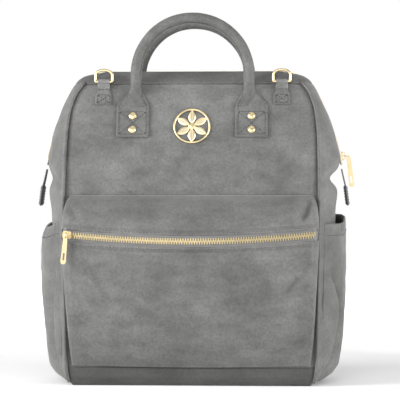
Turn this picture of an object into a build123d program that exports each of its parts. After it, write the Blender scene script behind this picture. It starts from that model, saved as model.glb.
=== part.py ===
"""Wide-mouth diaper backpack in soft grey imitation leather, in millimetres.

The bag stands on its base at z = 0 with its front panel facing -Y. Two sprung wire frames carry the zipped
mouth and swing apart on pivots low on each side. A zipped pouch fills the lower front, an elasticated bottle
pocket hangs on each side, and two padded straps lie on the back.
"""

from build123d import *
from math import asin, cos, degrees, hypot, radians, sin, sqrt, tan
import os

os.makedirs("parts", exist_ok=True)

# ---- driving dimensions ---------------------------------------------------------------------------------
LEATHER = 2.4  # outer panel with its foam backing
LINING = 1.2
GAP = 0.3  # air between pieces that only touch
TOP = 386.0  # height of the closed mouth
SEAM_HEIGHT = 370.0  # seam between the front panel and the mouth band
BASE_STRIP = 24.0  # how far the base panel wraps up the walls
# Plan sections of the body: height, half width of front panel, half width at the side zips, half depth.
BODY = [
    (0, 144, 151, 66),
    (8, 149, 162, 72),
    (BASE_STRIP, 151, 169, 74),
    (110, 153, 174, 76),
    (200, 154.5, 176, 74),
    (268, 154.5, 181, 62),
    (300, 154, 177.5, 51),
    (332, 151.5, 167.5, 40),
    (354, 145.5, 158, 32),
    (SEAM_HEIGHT, 135, 149, 26),
    (380, 120, 138, 18),
    (TOP, 106, 113, 10),
]
# The mouth pivot, the angles from upright at which the moving and the sewn walls end, and the travel.
PIVOT_Z = 268.0
MOVING_END = 60.0
SEWN_START = 92.0
FAR = 260.0  # further out than any wall
ZIP_GAP = 6.0  # half the width that the mouth zip fills
# The silhouette at the mouth zip: three points of each side's arc, and the corner.
SIDE_ARC = [(184.0, 277.0), (172.0, 320.0), (157.0, 355.0)]
CORNER_ARC = [(141.5, 376.5), (114.0, TOP)]
# The sprung wire inside the mouth band, from its foot to the straight top.
WIRE = [(172.5, 276), (162, 320), (144.5, 359), (131, 372), (102, 378)]
# Front pouch: height, half width, how far it stands out from the front panel.
POUCH = [
    (BASE_STRIP + 1, 145.5, 4),
    (60, 148, 17),
    (120, 152, 32),
    (176, 155, 43),
    (206, 154, 38),
    (222, 152, 24),
    (231, 149, 8),
]
POUCH_WALL = 2.0
# The pouch zip is an arc through its lowest, furthest-out middle point and its two ends.
POUCH_ZIP_MIDDLE = (0.0, -119.5, 176.5)
POUCH_ZIP_END = (151.5, -105.5, 184.5)
ZIP_TAPE = 13.0
ZIP_TEETH = 5.6
# Handles
HANDLE_RADIUS = 6.5
HANDLE_HALF = 70.0
HANDLE_Y = 34.5
HANDLE_PIVOT_Z = 370.0
HANDLE_TOP = 450.5
TAB_X = 73.0
TAB_HALF = 20.0
TAB_LOW = 302.0
TAB_SHOULDER = 346.0
TAB_NECK = 363.4
TAB_THICK = 3.0
RIVET_HEIGHTS = (311.0, 328.0)
RIVET_RADIUS = 4.0
RIVET_SHANK = 1.6
# D-rings
RING_X = 110.0
RING_WIRE = 1.5
RING_HALF = 10.0
RING_TALL = 11.0
RING_AXIS_Z = 372.0
RING_AXIS_Y = 31.0
LOOP_HALF = 7.5
# Medallion
MEDAL_Z = 316.0
MEDAL_RADIUS = 22.5
MEDAL_RIM = 1.6
# Bottle pockets: height, how far out of the side wall, half length along the side.
BOTTLE = [(4, 7, 48), (16, 11, 54), (50, 13, 60), (110, 14.5, 63), (170, 15, 62), (206, 14.5, 60)]
BOTTLE_WALL = 2.0
# Straps
STRAP_THICK = 9.0
WEBBING_THICK = 1.6


# ---- the body's shape -----------------------------------------------------------------------------------
def between(table, z):
    """The row of a section table at height z, by straight interpolation."""
    rows = sorted(table)
    z = min(max(z, rows[0][0]), rows[-1][0])
    for low, high in zip(rows, rows[1:]):
        if z <= high[0]:
            t = (z - low[0]) / (high[0] - low[0])
            return [a + t * (b - a) for a, b in zip(low, high)]
    return list(rows[-1])


def half_depth(z):
    return between(BODY, z)[3]


def plan(front, side, deep):
    """One plan section: flat front and back, bowed sides."""
    with BuildSketch() as section:
        with BuildLine():
            Line((-front, -deep), (front, -deep))
            ThreePointArc((front, -deep), (side, 0), (front, deep))
            Line((front, deep), (-front, deep))
            ThreePointArc((-front, deep), (-side, 0), (-front, -deep))
        make_face()
    return section.sketch


def bag_block(inset, low=0.0, high=TOP + 2):
    """The bag's body as one block, with every wall moved in by inset."""
    heights = [low] + [row[0] for row in BODY if low + 1 < row[0] < high - 1] + [high]
    with BuildPart() as block:
        for z in heights:
            _, front, side, deep = between(BODY, z)
            with BuildSketch(Plane.XY.offset(z)):
                add(plan(front - inset, side - inset, deep - inset))
        loft(ruled=True)
    return block.part


def skin(outer, inner, low=0.0, floor=0.0, high=TOP):
    """The body's wall between two insets. It is open at the top and closed at the bottom by floor."""
    with BuildPart() as wall:
        add(bag_block(outer, low, high))
        add(bag_block(inner, low + floor if floor else low - 1, high + 1), mode=Mode.SUBTRACT)
    return wall.part


def sector(start, end, sign, inner=ZIP_GAP, ceiling=TOP + 60):
    """A wedge through the whole width, from start to end degrees off upright; sign is -1 for the front."""

    def ray(angle, reach):
        return (sign * reach, PIVOT_Z + reach / tan(radians(angle)))

    if start <= 0:
        corners = [ray(end, inner), ray(end, FAR), (sign * FAR, ceiling), (sign * inner, ceiling)]
    else:
        corners = [ray(end, inner), ray(end, FAR), ray(start, FAR), ray(start, inner)]
    with BuildPart() as wedge:
        with BuildSketch(Plane.YZ):
            with BuildLine():
                Polyline(*corners, close=True)
            make_face()
        extrude(amount=FAR, both=True)
    return wedge.part


def below_pivot():
    """Everything under the sewn walls' top edge."""
    drop = FAR / tan(radians(180 - SEWN_START))
    with BuildPart() as lower:
        with BuildSketch(Plane.YZ):
            with BuildLine():
                Polyline(
                    (0, PIVOT_Z - 1), (-FAR, PIVOT_Z - drop), (-FAR, -20), (FAR, -20), (FAR, PIVOT_Z - drop),
                    close=True,
                )
            make_face()
        extrude(amount=FAR, both=True)
    return lower.part


def front_outline():
    """The front and back panels' edge, which follows the body's corners."""
    rows = [row for row in BODY if BASE_STRIP <= row[0] <= SEAM_HEIGHT]
    right = [(front, z) for z, front, _, _ in rows]
    with BuildSketch() as outline:
        with BuildLine():
            Polyline(*right, *[(-x, z) for x, z in reversed(right)], close=True)
        make_face()
    return outline.sketch


def panel_prism(sign):
    """The front (-1) or back (1) panel's outline, pushed through the wall on that side only."""
    with BuildPart() as prism:
        with BuildSketch(Plane.XZ):
            add(front_outline())
        extrude(amount=-sign * FAR)
    return prism.part


def save(part, name):
    part.label = name
    export_step(part, f"parts/{name}.step")


def piece(name, *blocks, cut=(), keep=None):
    """Intersects blocks, cuts others away, and writes the result as one node."""
    with BuildPart() as made:
        add(blocks[0])
        for block in blocks[1:]:
            add(block, mode=Mode.INTERSECT)
        for block in cut:
            add(block, mode=Mode.SUBTRACT)
    result = made.part
    if keep:
        result = Part() + [s for s in result.solids() if s.volume > keep]
    save(result, name)
    return result


# ---- walls ----------------------------------------------------------------------------------------------
def slope_at(z, sign):
    """A plane on the wall at height z, with its normal straight out of the wall and X kept."""
    run = (half_depth(z + 4) - half_depth(z - 4)) / 8.0
    return Plane(origin=(0, sign * half_depth(z), z), x_dir=(1, 0, 0), z_dir=(0, sign, -run))


def rivet_rods(sign, radius, low, high):
    """Round rods at the four rivets, between two heights out of the wall."""
    with BuildPart() as rods:
        for z in RIVET_HEIGHTS:
            with BuildSketch(slope_at(z, sign).offset(low)):
                with Locations((-TAB_X, 0), (TAB_X, 0)):
                    Circle(radius)
            extrude(amount=high - low)
    return rods.part


wall = skin(0, LEATHER, 0, 3.0)
fixed = below_pivot()
front_prism = panel_prism(-1)
back_prism = panel_prism(1)
with BuildPart() as base_zone:
    with Locations((0, 0, BASE_STRIP / 2)):
        Box(2 * FAR, 2 * FAR, BASE_STRIP + 2 * GAP)
with BuildPart() as above_base:
    with Locations((0, 0, BASE_STRIP + 2 * GAP + FAR)):
        Box(2 * FAR, 2 * FAR, 2 * FAR)
with BuildPart() as strip_zone:
    with Locations((0, 0, 0)):
        Box(2 * 152, 2 * FAR, 4 * FAR)

# The base panel turns up the front and back; the side walls run down to it.
piece("base_panel", wall, base_zone.part, strip_zone.part)
piece("front_panel", wall, front_prism, fixed, above_base.part, cut=(back_prism,))
piece("back_panel", wall, back_prism, fixed, above_base.part, cut=(front_prism,))
for side_name, x_sign in (("left", -1), ("right", 1)):
    with BuildPart() as half:
        with Locations((x_sign * FAR, 0, FAR)):
            Box(2 * FAR, 2 * FAR, 2 * FAR + 100)
    with BuildPart() as side_wall:
        add(wall)
        add(half.part, mode=Mode.INTERSECT)
        add(fixed, mode=Mode.INTERSECT)
        add(front_prism, mode=Mode.SUBTRACT)
        add(back_prism, mode=Mode.SUBTRACT)
        with BuildPart(mode=Mode.PRIVATE) as below:
            add(base_zone.part)
            add(strip_zone.part, mode=Mode.INTERSECT)
        add(below.part, mode=Mode.SUBTRACT)
    save(side_wall.part, f"side_panel_{side_name}")

with BuildPart() as base_board:
    with BuildSketch(Plane.XY.offset(3.0 + GAP)):
        RectangleRounded(2 * 138, 2 * 62, 12)
    extrude(amount=2.4)
save(base_board.part, "base_board")

# The lining is a loose box inside the walls.
lining_wall = skin(4.2, 4.2 + LINING, 6.2, LINING)
piece("lining", lining_wall, fixed)

for name, sign, prism in (("front", -1, front_prism), ("back", 1, back_prism)):
    moving = sector(0, MOVING_END, sign)
    folding = sector(MOVING_END + 0.6, SEWN_START - 0.6, sign)
    rivet_holes = rivet_rods(sign, RIVET_SHANK + GAP, -8, 8)
    piece(f"{name}_panel_upper", wall, prism, moving, cut=(rivet_holes,))
    piece(f"{name}_mouth_band", wall, moving, cut=(prism,))
    piece(f"{name}_fold", wall, folding)
    piece(f"{name}_lining_upper", skin(12.3, 12.3 + LINING, 200, 0, TOP - 13), moving)


# ---- mouth zip and wire frames --------------------------------------------------------------------------
def side_circle():
    """Centre and radius of the arc through the three SIDE_ARC points."""
    (ax, az), (bx, bz), (cx, cz) = SIDE_ARC
    a, b, c = ax * ax + az * az, bx * bx + bz * bz, cx * cx + cz * cz
    d = 2 * (ax * (bz - cz) + bx * (cz - az) + cx * (az - bz))
    x = (a * (bz - cz) + b * (cz - az) + c * (az - bz)) / d
    z = (a * (cx - bx) + b * (ax - cx) + c * (bx - ax)) / d
    return x, z, hypot(ax - x, az - z)


SIDE_X, SIDE_Z, SIDE_RADIUS = side_circle()


def on_side(z, grow=0.0):
    """A point of the mouth's side arc at height z, moved outward by grow, and the way up along the arc."""
    radius = SIDE_RADIUS + grow
    angle = asin((z - SIDE_Z) / radius)
    return (SIDE_X + radius * cos(angle), z), (-sin(angle), cos(angle))


def frame_path(y):
    """The wire's path at depth y: up one side, over the top and down the other."""
    with BuildLine() as line:
        for flip in (1, -1):
            points = [(flip * x, y, z) for x, z in WIRE]
            Spline(*points, tangents=((0, 0, 1), (-flip, 0, 0)))
        Line((-WIRE[-1][0], y, WIRE[-1][1]), (WIRE[-1][0], y, WIRE[-1][1]))
    return line.wire()


def mouth_bar(outward, inward, y_from, y_to, foot):
    """A flat bar that follows the silhouette between two offsets."""
    def edge(grow, flip):
        low, middle = on_side(foot, grow)[0], on_side(SIDE_ARC[1][1], grow)[0]
        high, way = on_side(SIDE_ARC[2][1], grow)
        corner = (CORNER_ARC[0][0] + grow * 0.6, CORNER_ARC[0][1] + grow * 0.7)
        top = (CORNER_ARC[1][0], CORNER_ARC[1][1] + grow)
        low, middle, high, corner, top = [(flip * x, z) for x, z in (low, middle, high, corner, top)]
        ThreePointArc(low, middle, high)
        Spline(high, corner, top, tangents=((flip * way[0], way[1]), (-flip, 0)))
        return low, top

    with BuildPart() as bar:
        with BuildSketch(Plane.XZ.offset(-y_from)):
            with BuildLine():
                feet = {}
                for grow in (outward, inward):
                    ends = [edge(grow, flip) for flip in (1, -1)]
                    Line(ends[0][1], ends[1][1])
                    feet[grow] = ends
                for k in (0, 1):
                    Line(feet[outward][k][0], feet[inward][k][0])
            make_face()
        extrude(amount=y_from - y_to)
    return bar.part


ZIP_FOOT = 273.0
for name, sign in (("front", -1), ("back", 1)):
    near, far = sign * GAP, sign * (ZIP_GAP - GAP)
    save(mouth_bar(-1.0, -2.0, near, far, ZIP_FOOT), f"{name}_zip_tape")
    save(mouth_bar(1.2, -0.9, near, sign * 3.0, ZIP_FOOT), f"{name}_zip_teeth")
    with BuildPart() as wire:
        path = frame_path(sign * 12.0)
        add(path)
        with BuildSketch(Plane(origin=path @ 0, z_dir=path % 0)):
            Circle(1.5)
        sweep(path=path)
    save(wire.part, f"{name}_frame_wire")

# Zip tails hang outside the pivots, each ending in a leather tab.
for side_name, x_sign in (("left", -1), ("right", 1)):
    with BuildPart() as tail:
        with BuildSketch(Plane.XZ.offset(-9)):
            with BuildLine():
                strip = [(183.0, 267), (184.5, 267.4), (189.6, 245), (188.2, 244.7)]
                Polyline(*[(x_sign * x, z) for x, z in strip], close=True)
            make_face()
        extrude(amount=18)
    save(tail.part, f"zip_tail_{side_name}")
    with BuildPart() as end_tab:
        with BuildSketch(Plane.XZ.offset(-10.5)):
            with BuildLine():
                tab = [(186.8, 244.3), (190.8, 245.0), (194.2, 219.0), (190.2, 218.4)]
                Polyline(*[(x_sign * x, z) for x, z in tab], close=True)
            make_face()
        extrude(amount=21)
        fillet(end_tab.edges().filter_by(Axis.Y), 0.8)
    save(end_tab.part, f"zip_end_tab_{side_name}")


# ---- pieces that lie on a wall --------------------------------------------------------------------------
def lies_on(sign, thick, lift=GAP):
    """A layer of the given thickness over the front (-1) or back (1) wall."""
    with BuildPart() as layer:
        add(bag_block(-lift - thick))
        add(bag_block(-lift, -1, TOP + 3), mode=Mode.SUBTRACT)
        with Locations((0, sign * FAR, FAR)):
            Box(2 * FAR, 2 * FAR, 4 * FAR, mode=Mode.INTERSECT)
    return layer.part


def prism_of(draw, sign):
    """A flat outline in X and Z, pushed through the wall on one side."""
    with BuildPart() as prism:
        with BuildSketch(Plane.XZ):
            add(draw())
        extrude(amount=-sign * FAR)
    return prism.part


def handle_tab_outline():
    """Both handle ends: square patches that narrow to the rolled grip."""
    with BuildSketch() as tabs:
        for x in (-TAB_X, TAB_X):
            neck = HANDLE_HALF if x > 0 else -HANDLE_HALF
            left, right, shoulder = x - TAB_HALF, x + TAB_HALF, TAB_SHOULDER - 4
            with BuildLine():
                Polyline((left, shoulder), (left, TAB_LOW), (right, TAB_LOW), (right, shoulder))
                Spline((right, shoulder), (right - 4, shoulder + 8), (neck + HANDLE_RADIUS, TAB_NECK))
                Line((neck + HANDLE_RADIUS, TAB_NECK), (neck - HANDLE_RADIUS, TAB_NECK))
                Spline((neck - HANDLE_RADIUS, TAB_NECK), (left + 4, shoulder + 8), (left, shoulder))
            make_face()
    return tabs.sketch


def ring_tab_outline():
    """Both D-ring patches."""
    with BuildSketch() as tabs:
        for x in (-RING_X, RING_X):
            right = [(LOOP_HALF, RING_AXIS_Z - 6), (LOOP_HALF, 360), (10, 356), (10, 343)]
            with BuildLine():
                left = [(x - w, z) for w, z in reversed(right)]
                Polyline(*[(x + w, z) for w, z in right], *left, close=True)
            make_face()
    return tabs.sketch


for name, sign in (("front", -1), ("back", 1)):
    layer = lies_on(sign, TAB_THICK)
    rivet_holes = rivet_rods(sign, RIVET_SHANK + GAP, -8, 8)
    piece(f"{name}_handle_tabs", layer, prism_of(handle_tab_outline, sign), cut=(rivet_holes,))

    with BuildPart() as rivets:
        add(rivet_rods(sign, RIVET_RADIUS, TAB_THICK + GAP, TAB_THICK + GAP + 1.6))
        add(rivet_rods(sign, RIVET_SHANK, -LEATHER - 0.8, TAB_THICK + GAP + 0.1))
        add(rivet_rods(sign, RIVET_RADIUS, -LEATHER - 1.4, -LEATHER - 0.6))
    save(rivets.part, f"{name}_rivets")

    # Each ring patch rises into a loop round the ring's bar.
    with BuildPart() as ring_tabs:
        add(layer)
        add(prism_of(ring_tab_outline, sign), mode=Mode.INTERSECT)
        for x in (-RING_X, RING_X):
            with BuildSketch(Plane.YZ.offset(x - LOOP_HALF)):
                with BuildLine():
                    Polyline(
                        (sign * 28.1, 366), (sign * 33.6, 366), (sign * 33.9, RING_AXIS_Z),
                        (sign * 28.2, RING_AXIS_Z), close=True,
                    )
                make_face()
                with Locations((sign * RING_AXIS_Y, RING_AXIS_Z)):
                    Circle(RING_WIRE + 1.7)
                    Circle(RING_WIRE + 0.3, mode=Mode.SUBTRACT)
            extrude(amount=2 * LOOP_HALF)
    save(ring_tabs.part, f"{name}_ring_tabs")

    for side_name, x_sign in (("left", -1), ("right", 1)):
        with BuildPart() as ring:
            with BuildLine() as ring_path:
                x0 = x_sign * RING_X
                y0, z0 = sign * RING_AXIS_Y, RING_AXIS_Z
                Line((x0, y0, z0), (x0 + RING_HALF - 2, y0, z0))
                Line((x0 + RING_HALF, y0, z0 + 2), (x0 + RING_HALF, y0, z0 + RING_TALL - 3))
                ThreePointArc((x0 + RING_HALF - 2, y0, z0), (x0 + RING_HALF - 0.6, y0, z0 + 0.6),
                              (x0 + RING_HALF, y0, z0 + 2))
                ThreePointArc((x0 + RING_HALF, y0, z0 + RING_TALL - 3), (x0, y0, z0 + RING_TALL + 3.5),
                              (x0 - RING_HALF, y0, z0 + RING_TALL - 3))
                Line((x0 - RING_HALF, y0, z0 + RING_TALL - 3), (x0 - RING_HALF, y0, z0 + 2))
                ThreePointArc((x0 - RING_HALF, y0, z0 + 2), (x0 - RING_HALF + 0.6, y0, z0 + 0.6),
                              (x0 - RING_HALF + 2, y0, z0))
                Line((x0 - RING_HALF + 2, y0, z0), (x0, y0, z0))
            with BuildSketch(Plane(origin=(x0, y0, z0), z_dir=(1, 0, 0))):
                Circle(RING_WIRE)
            sweep(path=ring_path.wire(), transition=Transition.ROUND)
        save(ring.part, f"{name}_ring_{side_name}")

    # The grip is a rolled tube whose ball ends turn on the patches' necks.
    y = sign * HANDLE_Y
    rise = HANDLE_TOP - HANDLE_HALF
    with BuildPart() as handle:
        with BuildLine() as arch:
            Line((-HANDLE_HALF, y, HANDLE_PIVOT_Z), (-HANDLE_HALF, y, rise))
            ThreePointArc((-HANDLE_HALF, y, rise), (0, y, HANDLE_TOP), (HANDLE_HALF, y, rise))
            Line((HANDLE_HALF, y, rise), (HANDLE_HALF, y, HANDLE_PIVOT_Z))
        with BuildSketch(Plane.XY.offset(HANDLE_PIVOT_Z)):
            with Locations((-HANDLE_HALF, y)):
                Circle(HANDLE_RADIUS)
        sweep(path=arch.wire())
        with Locations((-HANDLE_HALF, y, HANDLE_PIVOT_Z), (HANDLE_HALF, y, HANDLE_PIVOT_Z)):
            Sphere(HANDLE_RADIUS)
    save(handle.part, f"{name}_handle")

# The medallion: a ring, six petals that reach it, and a small hub.
with BuildPart() as medallion:
    with BuildSketch(slope_at(MEDAL_Z, -1).offset(GAP)):
        Circle(MEDAL_RADIUS)
        Circle(MEDAL_RADIUS - MEDAL_RIM, mode=Mode.SUBTRACT)
        with PolarLocations((MEDAL_RADIUS - MEDAL_RIM) / 2, 6, start_angle=30):
            Ellipse((MEDAL_RADIUS - MEDAL_RIM) / 2 + 0.3, 3.6)
        Circle(4.4)
    extrude(amount=1.6)
save(medallion.part, "medallion")


# ---- front pouch ----------------------------------------------------------------------------------------
def pouch_block(inset, low, high, back):
    """The pouch as a block behind its bulged face; back is its clearance from the front panel."""
    bends = {row[0] for row in POUCH + BODY if low + 2 < row[0] < high - 2}
    heights = [low] + sorted(bends) + [high]
    with BuildPart() as block:
        for z in heights:
            _, half, out = between(POUCH, z)
            wall_y = -half_depth(z) - back
            root = min(half, between(BODY, z)[1] - 2.4) - inset
            half, out = half - inset, max(out - inset, 0.8)
            right = [
                (root, 0), (root + 0.3, 0.1), (half - 0.8, 0.34), (half, 0.52), (half - 3, 0.68),
                (half - 12, 0.79), (half * 0.6, 0.92),
            ]
            edge = [(x, wall_y - out * part) for x, part in right]
            with BuildSketch(Plane.XY.offset(z)):
                with BuildLine():
                    Spline(*edge, (0, wall_y - out), *[(-x, y) for x, y in reversed(edge)])
                    Line((-root, wall_y), (root, wall_y))
                make_face()
        loft(ruled=True)
    return block.part


def zip_frame():
    """Centre, axis and half angle of the pouch zip's arc."""
    rise_y = POUCH_ZIP_END[1] - POUCH_ZIP_MIDDLE[1]
    rise_z = POUCH_ZIP_END[2] - POUCH_ZIP_MIDDLE[2]
    sag = hypot(rise_y, rise_z)
    half = POUCH_ZIP_END[0]
    radius = (half * half + sag * sag) / (2 * sag)
    toward = (rise_y / sag, rise_z / sag)
    centre = (0.0, POUCH_ZIP_MIDDLE[1] + radius * toward[0], POUCH_ZIP_MIDDLE[2] + radius * toward[1])
    return centre, (0.0, toward[1], -toward[0]), degrees(asin(half / radius))


zip_centre, zip_axis_dir, zip_half_angle = zip_frame()
zip_axis = Axis(zip_centre, zip_axis_dir)
print("pouch zip: centre", zip_centre, "axis", zip_axis_dir, "half angle", zip_half_angle)
# Across the zip is the plane's X, out of the bag is its Y.
zip_plane = Plane(origin=POUCH_ZIP_MIDDLE, x_dir=(0, 0, 1), z_dir=(1, 0, 0))


def zip_bar(across, low, high, angle):
    """A bar along the pouch zip: half width across it, between two heights out of the tape."""
    with BuildPart() as bar:
        for turn in (angle, -angle):
            with BuildSketch(zip_plane):
                with BuildLine():
                    Polyline((-across, low), (across, low), (across, high), (-across, high), close=True)
                make_face()
            revolve(axis=zip_axis, revolution_arc=turn)
    return bar.part


pouch_low, pouch_high = POUCH[0][0], POUCH[-1][0]
with BuildPart() as pouch_shell:
    add(pouch_block(0, pouch_low, pouch_high, GAP))
    add(pouch_block(POUCH_WALL, pouch_low + 3, pouch_high - 3, -1), mode=Mode.SUBTRACT)
    add(zip_bar(ZIP_TAPE / 2 + GAP, -8, 30, zip_half_angle + 3.0), mode=Mode.SUBTRACT)
    add(zip_bar(GAP, -60, 30, zip_half_angle + 3.0), mode=Mode.SUBTRACT)
shells = [s for s in pouch_shell.part.solids().sort_by(Axis.Z) if s.volume > 50]
save(Part() + shells[:1], "pouch_lower_panel")
save(Part() + shells[1:], "pouch_upper_panel")
save(zip_bar(ZIP_TAPE / 2, -1.0, 0.0, zip_half_angle + 0.4), "pouch_zip_tape")
save(zip_bar(ZIP_TEETH / 2, 0.05, 2.0, zip_half_angle), "pouch_zip_teeth")


# ---- zip sliders and pulls ------------------------------------------------------------------------------
SLIDER_LENGTH, SLIDER_WIDTH = 11.0, 9.0
PLATE = 1.4
BRIDGE_LOW, BRIDGE_HIGH = 3.3, 4.3  # above the slider's underside
LINK_RADIUS, LINK_WIRE = 3.0, 0.6
LINK_CENTRE = PLATE + GAP + LINK_WIRE + LINK_RADIUS


def slider_on(plane, clear):
    """A slider over a chain: the plane's origin is on the tape, X runs along the chain and Z points out."""
    with BuildPart() as slider:
        with BuildSketch(plane.offset(clear)):
            RectangleRounded(SLIDER_LENGTH, SLIDER_WIDTH, 2.4)
        extrude(amount=PLATE)
        with BuildSketch(plane.offset(clear + PLATE - 0.1)):
            with Locations((-4.0, 0), (4.0, 0)):
                Rectangle(1.6, 1.2)
        extrude(amount=BRIDGE_LOW - PLATE + 0.2)
        with BuildSketch(plane.offset(clear + BRIDGE_LOW)):
            Rectangle(9.6, 1.2)
        extrude(amount=BRIDGE_HIGH - BRIDGE_LOW)
    return slider.part


def link_at(plane, clear, tilt):
    """A small ring through the slider's bridge, tilted along the chain; returns it and its outer point."""
    with BuildPart() as link:
        Torus(LINK_RADIUS, LINK_WIRE)
    lean = plane.z_dir * cos(radians(tilt)) - plane.x_dir * sin(radians(tilt))
    centre = plane.origin + plane.z_dir * (clear + LINK_CENTRE - LINK_RADIUS) + lean * LINK_RADIUS
    ring = Plane(origin=centre, z_dir=lean.cross(plane.y_dir)).location * link.part
    return ring, centre, centre + lean * LINK_RADIUS


def pull_at(eye, swing, face_dir, length):
    """A flat pull that hangs along swing, with the wire of a small ring through its eye."""
    x_dir, z_dir = Vector(*swing), Vector(*face_dir)
    origin = Vector(*eye)
    with BuildPart() as pull:
        with BuildSketch(Plane(origin=origin - z_dir * 0.6, x_dir=x_dir, z_dir=z_dir)):
            with BuildLine():
                edge = [(-1.9, 1.6), (2.5, 2.6), (length - 3, 3.4), (length, 2.0)]
                Polyline(*edge, *[(x, -y) for x, y in reversed(edge)], close=True)
            make_face()
            Circle(1.0, mode=Mode.SUBTRACT)
            with Locations((length - 9, 0)):
                SlotOverall(9, 2.4, mode=Mode.SUBTRACT)
        extrude(amount=1.2)
    return pull.part


def pouch_zip_plane(angle):
    """On the pouch zip's tape, angle degrees from its middle towards +X: X along the chain, Z out."""
    turn = Axis((0, 0, 0), zip_axis_dir)
    spoke = (Vector(*POUCH_ZIP_MIDDLE) - Vector(*zip_centre)).rotate(turn, -angle)
    return Plane(
        origin=Vector(*zip_centre) + spoke,
        x_dir=Vector(1, 0, 0).rotate(turn, -angle),
        z_dir=Vector(0, -1, 0).rotate(turn, -angle),
    )


park = pouch_zip_plane(-zip_half_angle + 0.45)
save(slider_on(park, 2.3), "pouch_slider")
pouch_ring, pouch_link, _ = link_at(park, 2.3, 0)
save(pouch_ring, "pouch_pull_ring")
down = (Vector(0, 0, -1) - park.x_dir * Vector(0, 0, -1).dot(park.x_dir)).normalized()
pouch_eye = pouch_link + down * LINK_RADIUS
save(pull_at(tuple(pouch_eye), tuple(down), tuple(park.x_dir.cross(down)), 32), "pouch_pull")
print("pouch link", tuple(pouch_link), "axis", tuple(park.x_dir), "down", tuple(down))

# The mouth slider is parked near the foot of the right-hand chain.
MOUTH_PARK_Z = 280.0
(park_x, park_z), way = on_side(MOUTH_PARK_Z)
mouth_park = Plane(origin=(park_x, 0, park_z), x_dir=(way[0], 0, way[1]), z_dir=(way[1], 0, -way[0]))
save(slider_on(mouth_park, 1.6), "mouth_slider")
mouth_ring, mouth_link, mouth_eye = link_at(mouth_park, 1.6, 20)
save(mouth_ring, "mouth_pull_ring")
hang = Vector(0.12, 0, -1).normalized()
save(pull_at(tuple(mouth_eye), tuple(hang), (0, 1, 0), 38), "mouth_pull")
print("mouth side arc", SIDE_X, SIDE_Z, SIDE_RADIUS, "link", tuple(mouth_link), "down", tuple(hang))


# ---- bottle pockets -------------------------------------------------------------------------------------
def side_x_at(z, y, inset=0.0):
    """How far out the side wall is at height z and depth y."""
    _, front, side, deep = between(BODY, z)
    radius = ((side - front) ** 2 + deep * deep) / (2 * (side - front))
    return side - radius + sqrt(radius * radius - y * y) - inset


def bottle_block(x_sign, inset, low, high):
    """A bottle pocket as a solid block against the side wall."""
    with BuildPart() as block:
        for z in [low] + [row[0] for row in BOTTLE if low + 2 < row[0] < high - 2] + [high]:
            _, out, half = between(BOTTLE, z)
            half -= 1.6 * inset
            end = side_x_at(z, half) - 3.0
            middle = side_x_at(z, 0) + out - inset
            with BuildSketch(Plane.XY.offset(z)):
                with BuildLine():
                    Spline(
                        (x_sign * end, -half),
                        (x_sign * (end + 0.62 * (middle - end)), -0.80 * half),
                        (x_sign * middle, 0),
                        (x_sign * (end + 0.62 * (middle - end)), 0.80 * half),
                        (x_sign * end, half),
                    )
                    Line((x_sign * end, half), (x_sign * end, -half))
                make_face()
        loft(ruled=True)
    return block.part


body_clear = bag_block(-GAP, -1, 260)
bottle_low, bottle_high = BOTTLE[0][0], BOTTLE[-1][0]
for side_name, x_sign in (("left", -1), ("right", 1)):
    with BuildPart() as bottle:
        add(bottle_block(x_sign, 0, bottle_low, bottle_high))
        add(bottle_block(x_sign, BOTTLE_WALL, bottle_low + 2.4, bottle_high + 1), mode=Mode.SUBTRACT)
        add(body_clear, mode=Mode.SUBTRACT)
    save(Part() + [s for s in bottle.part.solids() if s.volume > 100], f"bottle_pocket_{side_name}")


# ---- piping down the panels' edges ----------------------------------------------------------------------
def piping(x_sign, sign, heights):
    """A bead along the corner between the front (-1) or back (1) panel and a side."""
    points = []
    for z in heights:
        _, front, _, deep = between(BODY, z)
        points.append((x_sign * (front + 1.5), sign * (deep + 2.0), z))
    with BuildPart() as bead:
        with BuildLine() as run:
            Polyline(*points) if len(points) < 3 else Spline(*points)
        with BuildSketch(Plane(origin=points[0], z_dir=run.line % 0)):
            Circle(1.5)
        sweep(path=run.wire())
    return bead.part


lower_beads = Part()
for sign, name in ((-1, "front"), (1, "back")):
    upper_beads = Part()
    for x_sign in (-1, 1):
        upper_beads += piping(x_sign, sign, (302, 332, 354, 364))
        lower_beads += piping(x_sign, sign, (26, 110, 200, 262))
    save(upper_beads, f"{name}_piping")
save(lower_beads, "piping_lower")


# ---- straps, flat on the back ---------------------------------------------------------------------------
YOKE_TOP, YOKE_LOW = 332.0, 310.0
STRAP = [(25.5, 316), (27, 296), (56, 244), (90, 186), (103, 130), (107, 108)]
STRAP_WIDTH = 46.0
WEBBING = [(108, 103), (117, 43)]
WEBBING_WIDTH = 25.0


def band_outline(points, width, sides=(-1, 1)):
    """A strip of the given width along points, on both sides of the bag."""
    with BuildSketch() as strip:
        for x_sign in sides:
            with BuildLine() as middle:
                if len(points) > 2:
                    Spline(*[(x_sign * x, z) for x, z in points])
                else:
                    Line(*[(x_sign * x, z) for x, z in points])
            trace(line_width=width)
    return strip.sketch


def back_strip(outline, thick, lift=GAP):
    """An outline laid on the back wall."""
    with BuildPart() as laid:
        with BuildSketch(Plane.XZ):
            add(outline)
        extrude(amount=-FAR)
        add(lies_on(1, thick, lift), mode=Mode.INTERSECT)
    return laid.part


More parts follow.
